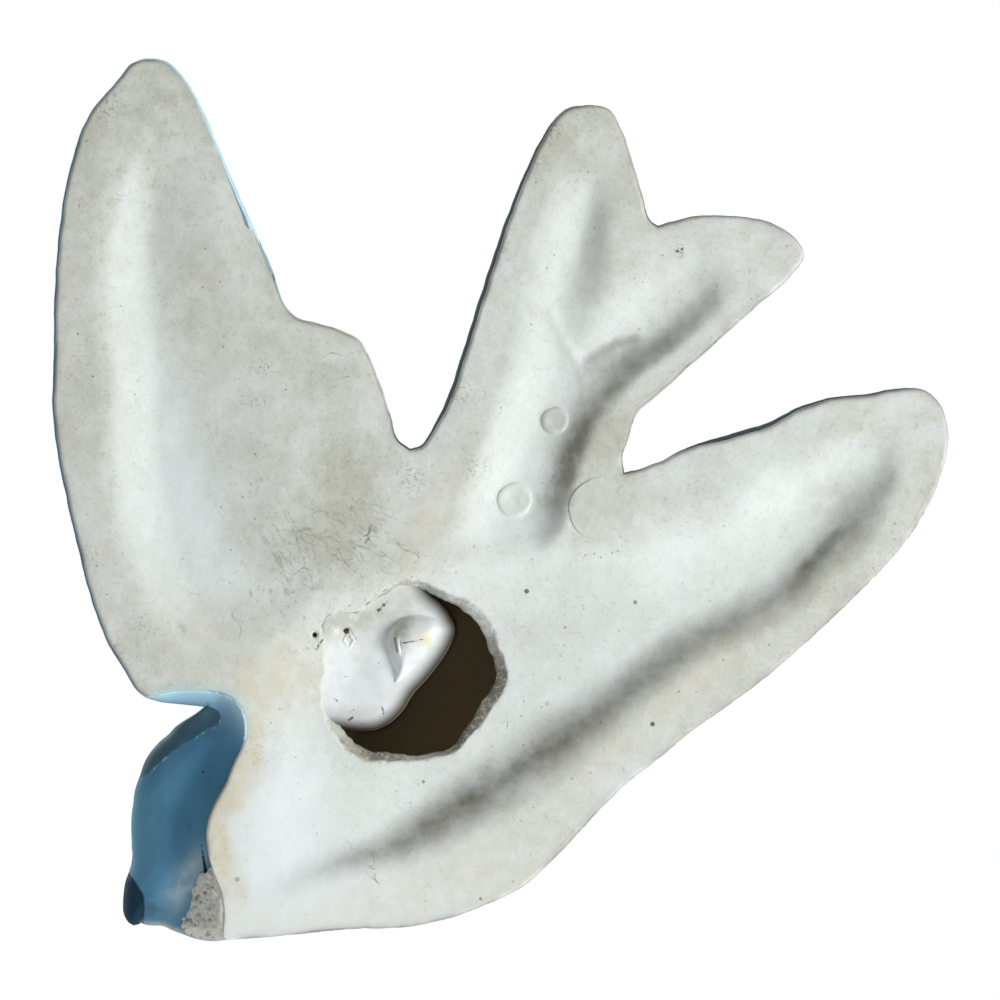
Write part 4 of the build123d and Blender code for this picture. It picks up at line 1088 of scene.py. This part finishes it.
stopped = Shader("plug_plaster")
mottle = stopped.noise(3.0, 4.0, 0.6)
dirt = stopped.times(stopped.field("dirt_and_shade"), stopped.plus(0.5, mottle))
stopped.colour = stopped.blend(dirt, tone(236, 244, 241), tone(199, 200, 185))
stopped.coat(stopped.times(stopped.specks(2.6, 0.13, 0.06, 0.58), 0.55), tone(120, 120, 110))
dark_edge = stopped.times(stopped.step(stopped.field("out"), -0.7, -0.05), stopped.step(mottle, 0.40, 0.62))
stopped.coat(stopped.times(dark_edge, 0.25), tone(160, 159, 148))
normal = stopped.bump(stopped.noise(1.2, 4.0, 0.6), 0.06)
stopped.finish(normal, {"Roughness": 0.9, "Specular IOR Level": 0.25})
disc("lower_plug", LOWER_PLUG, 0.7, 1.9, 0.25, "tail_plug_lower", stopped.material, THUMB_DENT)
disc("upper_plug", UPPER_PLUG, 0.6, 2.0, 0.6, "tail_plug_upper", stopped.material)
disc("flush_patch", PATCH, 0.02, 0.10, 0.62, "root_patch", stopped.material)

# Hanging wire: the stub of a bent iron wire cast into the plaster; its loop is gone and only its two rusty
# ends show in their chipped holes.
WIRE_RADIUS = 0.45
WIRE_SIDES = 16
bend = np.linspace(0.0, np.pi, 33)
first_end, second_end = np.array(WIRE_HOLES)
reach = np.concatenate([[0.0, 0.05], 0.08 + 0.84 * (1.0 - np.cos(bend)) / 2.0, [0.95, 1.0]])
path = first_end + (second_end - first_end) * reach[:, None]
sag = np.concatenate([[4.9, 5.4], 6.0 + 1.4 * np.sin(bend), [5.4, 4.9]])
spine = raised(path, sag)
ahead = np.gradient(spine, axis=0)
ahead /= np.linalg.norm(ahead, axis=1, keepdims=True)
side = np.cross(ahead, (0.1, 0.0, 1.0))
side /= np.linalg.norm(side, axis=1, keepdims=True)
up = np.cross(side, ahead)
turn = np.linspace(0.0, 2.0 * np.pi, WIRE_SIDES, endpoint=False)[:, None]
around = side[:, None] * np.cos(turn) + up[:, None] * np.sin(turn)
wire_corners = np.concatenate([(spine[:, None] + WIRE_RADIUS * around).reshape(-1, 3), spine[[0, -1]]])
rows = np.arange(len(spine) * WIRE_SIDES).reshape(len(spine), WIRE_SIDES)
wire_faces = [strip(near_row, far_row) for near_row, far_row in zip(rows[:-1], rows[1:])]
wire_faces += [fan(rows.size, rows[0]), fan(rows.size + 1, rows[-1])[:, ::-1]]
rust = Shader("wire")
rust.colour = rust.blend(rust.step(rust.noise(0.6, 3.0), 0.35, 0.65), tone(58, 48, 42), tone(104, 66, 42))
rust.finish(rust.bump(rust.noise(0.3, 3.0), 0.05), {"Roughness": 0.8, "Metallic": 0.3})
wire_faces = np.concatenate(wire_faces)
piece("wire_stub", wire_corners, wire_faces, {}, "hanger_wire", rust.material)

# Throat fill: a lump of coarse grey plaster pressed into the open seam between the head and the back, full of
# air holes and left rough.
FILL_BOX = (-67.5, -78.5, -53.0, -56.0)
FILL_THICKNESS = 3.0
PITS = 110
fill_run = [
    (-61.0, -58.9), (-57.0, -56.5), (-53.9, -58.0), (-53.2, -63.8), (-52.9, -69.8), (-53.2, -73.0),
    (-54.9, -77.2), (-60.5, -77.0), (-65.5, -75.4), (-66.2, -72.0), (-64.3, -67.7), (-63.2, -62.7),
]
fill_edge = smooth_run(fill_run, fill_run[0], 0.5)
fill_edge = fill_edge + outward(fill_edge) * (0.35 * ripple(*fill_edge.T, 2.4, 51))[:, None]
fill_net = hexes(FILL_BOX, 0.42)
fill_net = fill_net[inside_by(fill_net, fill_edge) > 0.3]
fill_plan, fill_top = plan_net([fill_edge], fill_net)
x, z = fill_plan.T
slope = 0.45 + 11.9 * ramp((-54.0 - x) / 13.0) + 8.0 * ramp((-73.5 - z) / 4.0)
lumps = 0.45 * ripple(x, z, 3.2, 52) + 0.35 * ripple(x, z, 1.7, 53) + 0.25 * ripple(x, z, 1.0, 54)
draw = np.random.default_rng(55)
pit_at, pit_size = draw.uniform((-66.0, -77.0), (-54.0, -57.0), (PITS, 2)), draw.uniform(0.2, 0.5, PITS)
pits = sum(spot(x, z, at, (size, size)) for at, size in zip(pit_at, pit_size))
calm = 0.12 + 0.88 * ramp((-54.6 - x) / 3.0)
worn_down = (1.0 - ramp(inside_by(fill_plan, fill_edge) / 1.2)) ** 2 * ramp((-55.0 - x) / 2.0)
fill_y = slope + (0.6 * lumps + 0.5 * np.minimum(pits, 1.2)) * calm + 1.2 * worn_down
under_y = np.maximum(fill_y, slope) + FILL_THICKNESS
edge_row = np.arange(len(fill_edge))
fill_corners = np.concatenate([raised(fill_plan, fill_y), raised(fill_plan, under_y)])
fill_wall = strip(edge_row + len(fill_plan), edge_row)
fill_faces = np.concatenate([fill_top, fill_top[:, ::-1] + len(fill_plan), fill_wall])
coarse = Shader("coarse_plaster")
cloudy = coarse.step(coarse.noise(2.2, 4.0, 0.65), 0.35, 0.68)
coarse.colour = coarse.blend(cloudy, tone(250, 248, 238), tone(222, 220, 208))
coarse.coat(coarse.step(coarse.noise(0.9, 2.0), 0.55, 0.70), tone(194, 190, 178))
# The air holes are darkened: painted shade.
coarse.coat(coarse.times(coarse.step(coarse.field("pit"), 0.2, 1.0), 0.6), tone(96, 93, 84))
# Lighter towards the lump's right side.
coarse.coat(coarse.times(coarse.field("lighter_right"), 0.5), tone(236, 234, 224))
coarse.finish(coarse.bump(coarse.noise(0.7, 4.0, 0.7), 0.25), {"Roughness": 0.95, "Specular IOR Level": 0.2})
piece("throat_lump", fill_corners, fill_faces, {
    "pit": np.tile(pits, 2), "lighter_right": np.tile(ramp((x + 60.0) / 5.0), 2),
}, "throat_fill", coarse.material)

# Seam lute: the thin bed of plaster between the two castings, laid wet to join them. It is seen only as a
# line where the seam is open.
lute = Shader("lute_plaster")
cloudy = lute.step(lute.noise(3.0, 4.0, 0.6), 0.35, 0.70)
lute.colour = lute.blend(cloudy, tone(214, 213, 203), tone(178, 176, 164))
lute.finish(lute.bump(lute.noise(1.0, 3.0), 0.08), {"Roughness": 0.9})
lute_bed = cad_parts["seam_lute"]
lute_bed.data.materials.clear()
lute_bed.data.materials.append(lute.material)

# Stage: a pale floor under the hanging bird, soft light from the right with a little fill, and a camera
# square to the raw back.
FLOOR_Z = -0.60
FLOOR_HALF = 1.5
LIT_AT = (0.02, 0.0, 0.04)
WHITE = (1.0, 1.0, 1.0, 1.0)
VIEW_WIDTH = 0.28571
VIEW_DISTANCE = 5.0
SENSOR = 36.0
floor_mesh = bpy.data.meshes.new("floor")
floor_turns = [(-1.0, -1.0), (1.0, -1.0), (1.0, 1.0), (-1.0, 1.0)]
floor_corners = [(across * FLOOR_HALF, deep * FLOOR_HALF, FLOOR_Z) for across, deep in floor_turns]
floor_mesh.from_pydata(floor_corners, [], [(0, 1, 2, 3)])
floor = bpy.data.objects.new("floor", floor_mesh)
bpy.context.scene.collection.objects.link(floor)
pale_floor = Shader("pale_floor")
glow = pale_floor.times(pale_floor.node("LightPath").outputs["Is Camera Ray"], 0.75)
for socket, value in {
    "Base Color": (0.9, 0.9, 0.9, 1.0), "Roughness": 0.9, "Emission Color": WHITE, "Emission Strength": glow,
}.items():
    pale_floor.put(pale_floor.surface.inputs[socket], value)
floor_mesh.materials.append(pale_floor.material)


def lamp(name, at, target, size, watts):
    """A square area lamp that faces a target."""
    light = bpy.data.lights.new(name, "AREA")
    light.size = size
    light.energy = watts
    holder = bpy.data.objects.new(name, light)
    bpy.context.scene.collection.objects.link(holder)
    holder.location = at
    holder.rotation_euler = (Vector(target) - Vector(at)).to_track_quat("-Z", "Y").to_euler()


lamp("key", (1.45, -1.05, -0.18), LIT_AT, 0.65, 24.0)
lamp("front_fill", (-0.5, 1.2, 0.6), LIT_AT, 0.8, 10.0)

world = bpy.data.worlds.new("world")
bpy.context.scene.world = world
world.use_nodes = True
tree = world.node_tree
sky_light = tree.nodes["Background"]
sky_light.inputs["Color"].default_value = (0.95, 0.98, 1.0, 1.0)
sky_light.inputs["Strength"].default_value = 0.345
white = tree.nodes.new("ShaderNodeBackground")
white.inputs["Color"].default_value = WHITE
white.inputs["Strength"].default_value = 1.0
ray = tree.nodes.new("ShaderNodeLightPath")
seen = ray.outputs["Is Camera Ray"]
for kind in ("Is Glossy Ray", "Is Transmission Ray"):
    either = tree.nodes.new("ShaderNodeMath")
    either.operation = "MAXIMUM"
    tree.links.new(seen, either.inputs[0])
    tree.links.new(ray.outputs[kind], either.inputs[1])
    seen = either.outputs[0]
mix = tree.nodes.new("ShaderNodeMixShader")
for socket, source in enumerate((seen, sky_light.outputs[0], white.outputs[0])):
    tree.links.new(source, mix.inputs[socket])
tree.links.new(mix.outputs[0], tree.nodes["World Output"].inputs["Surface"])

camera = bpy.data.cameras.new("camera")
camera.sensor_width = SENSOR
camera.lens = SENSOR * VIEW_DISTANCE / VIEW_WIDTH
eye = bpy.data.objects.new("camera", camera)
eye.location = (0.02486, -VIEW_DISTANCE, 0.04857)
eye.rotation_euler = (np.pi / 2.0, 0.0, 0.0)
bpy.context.scene.collection.objects.link(eye)
bpy.context.scene.camera = eye
bpy.context.scene.view_settings.view_transform = "Standard"
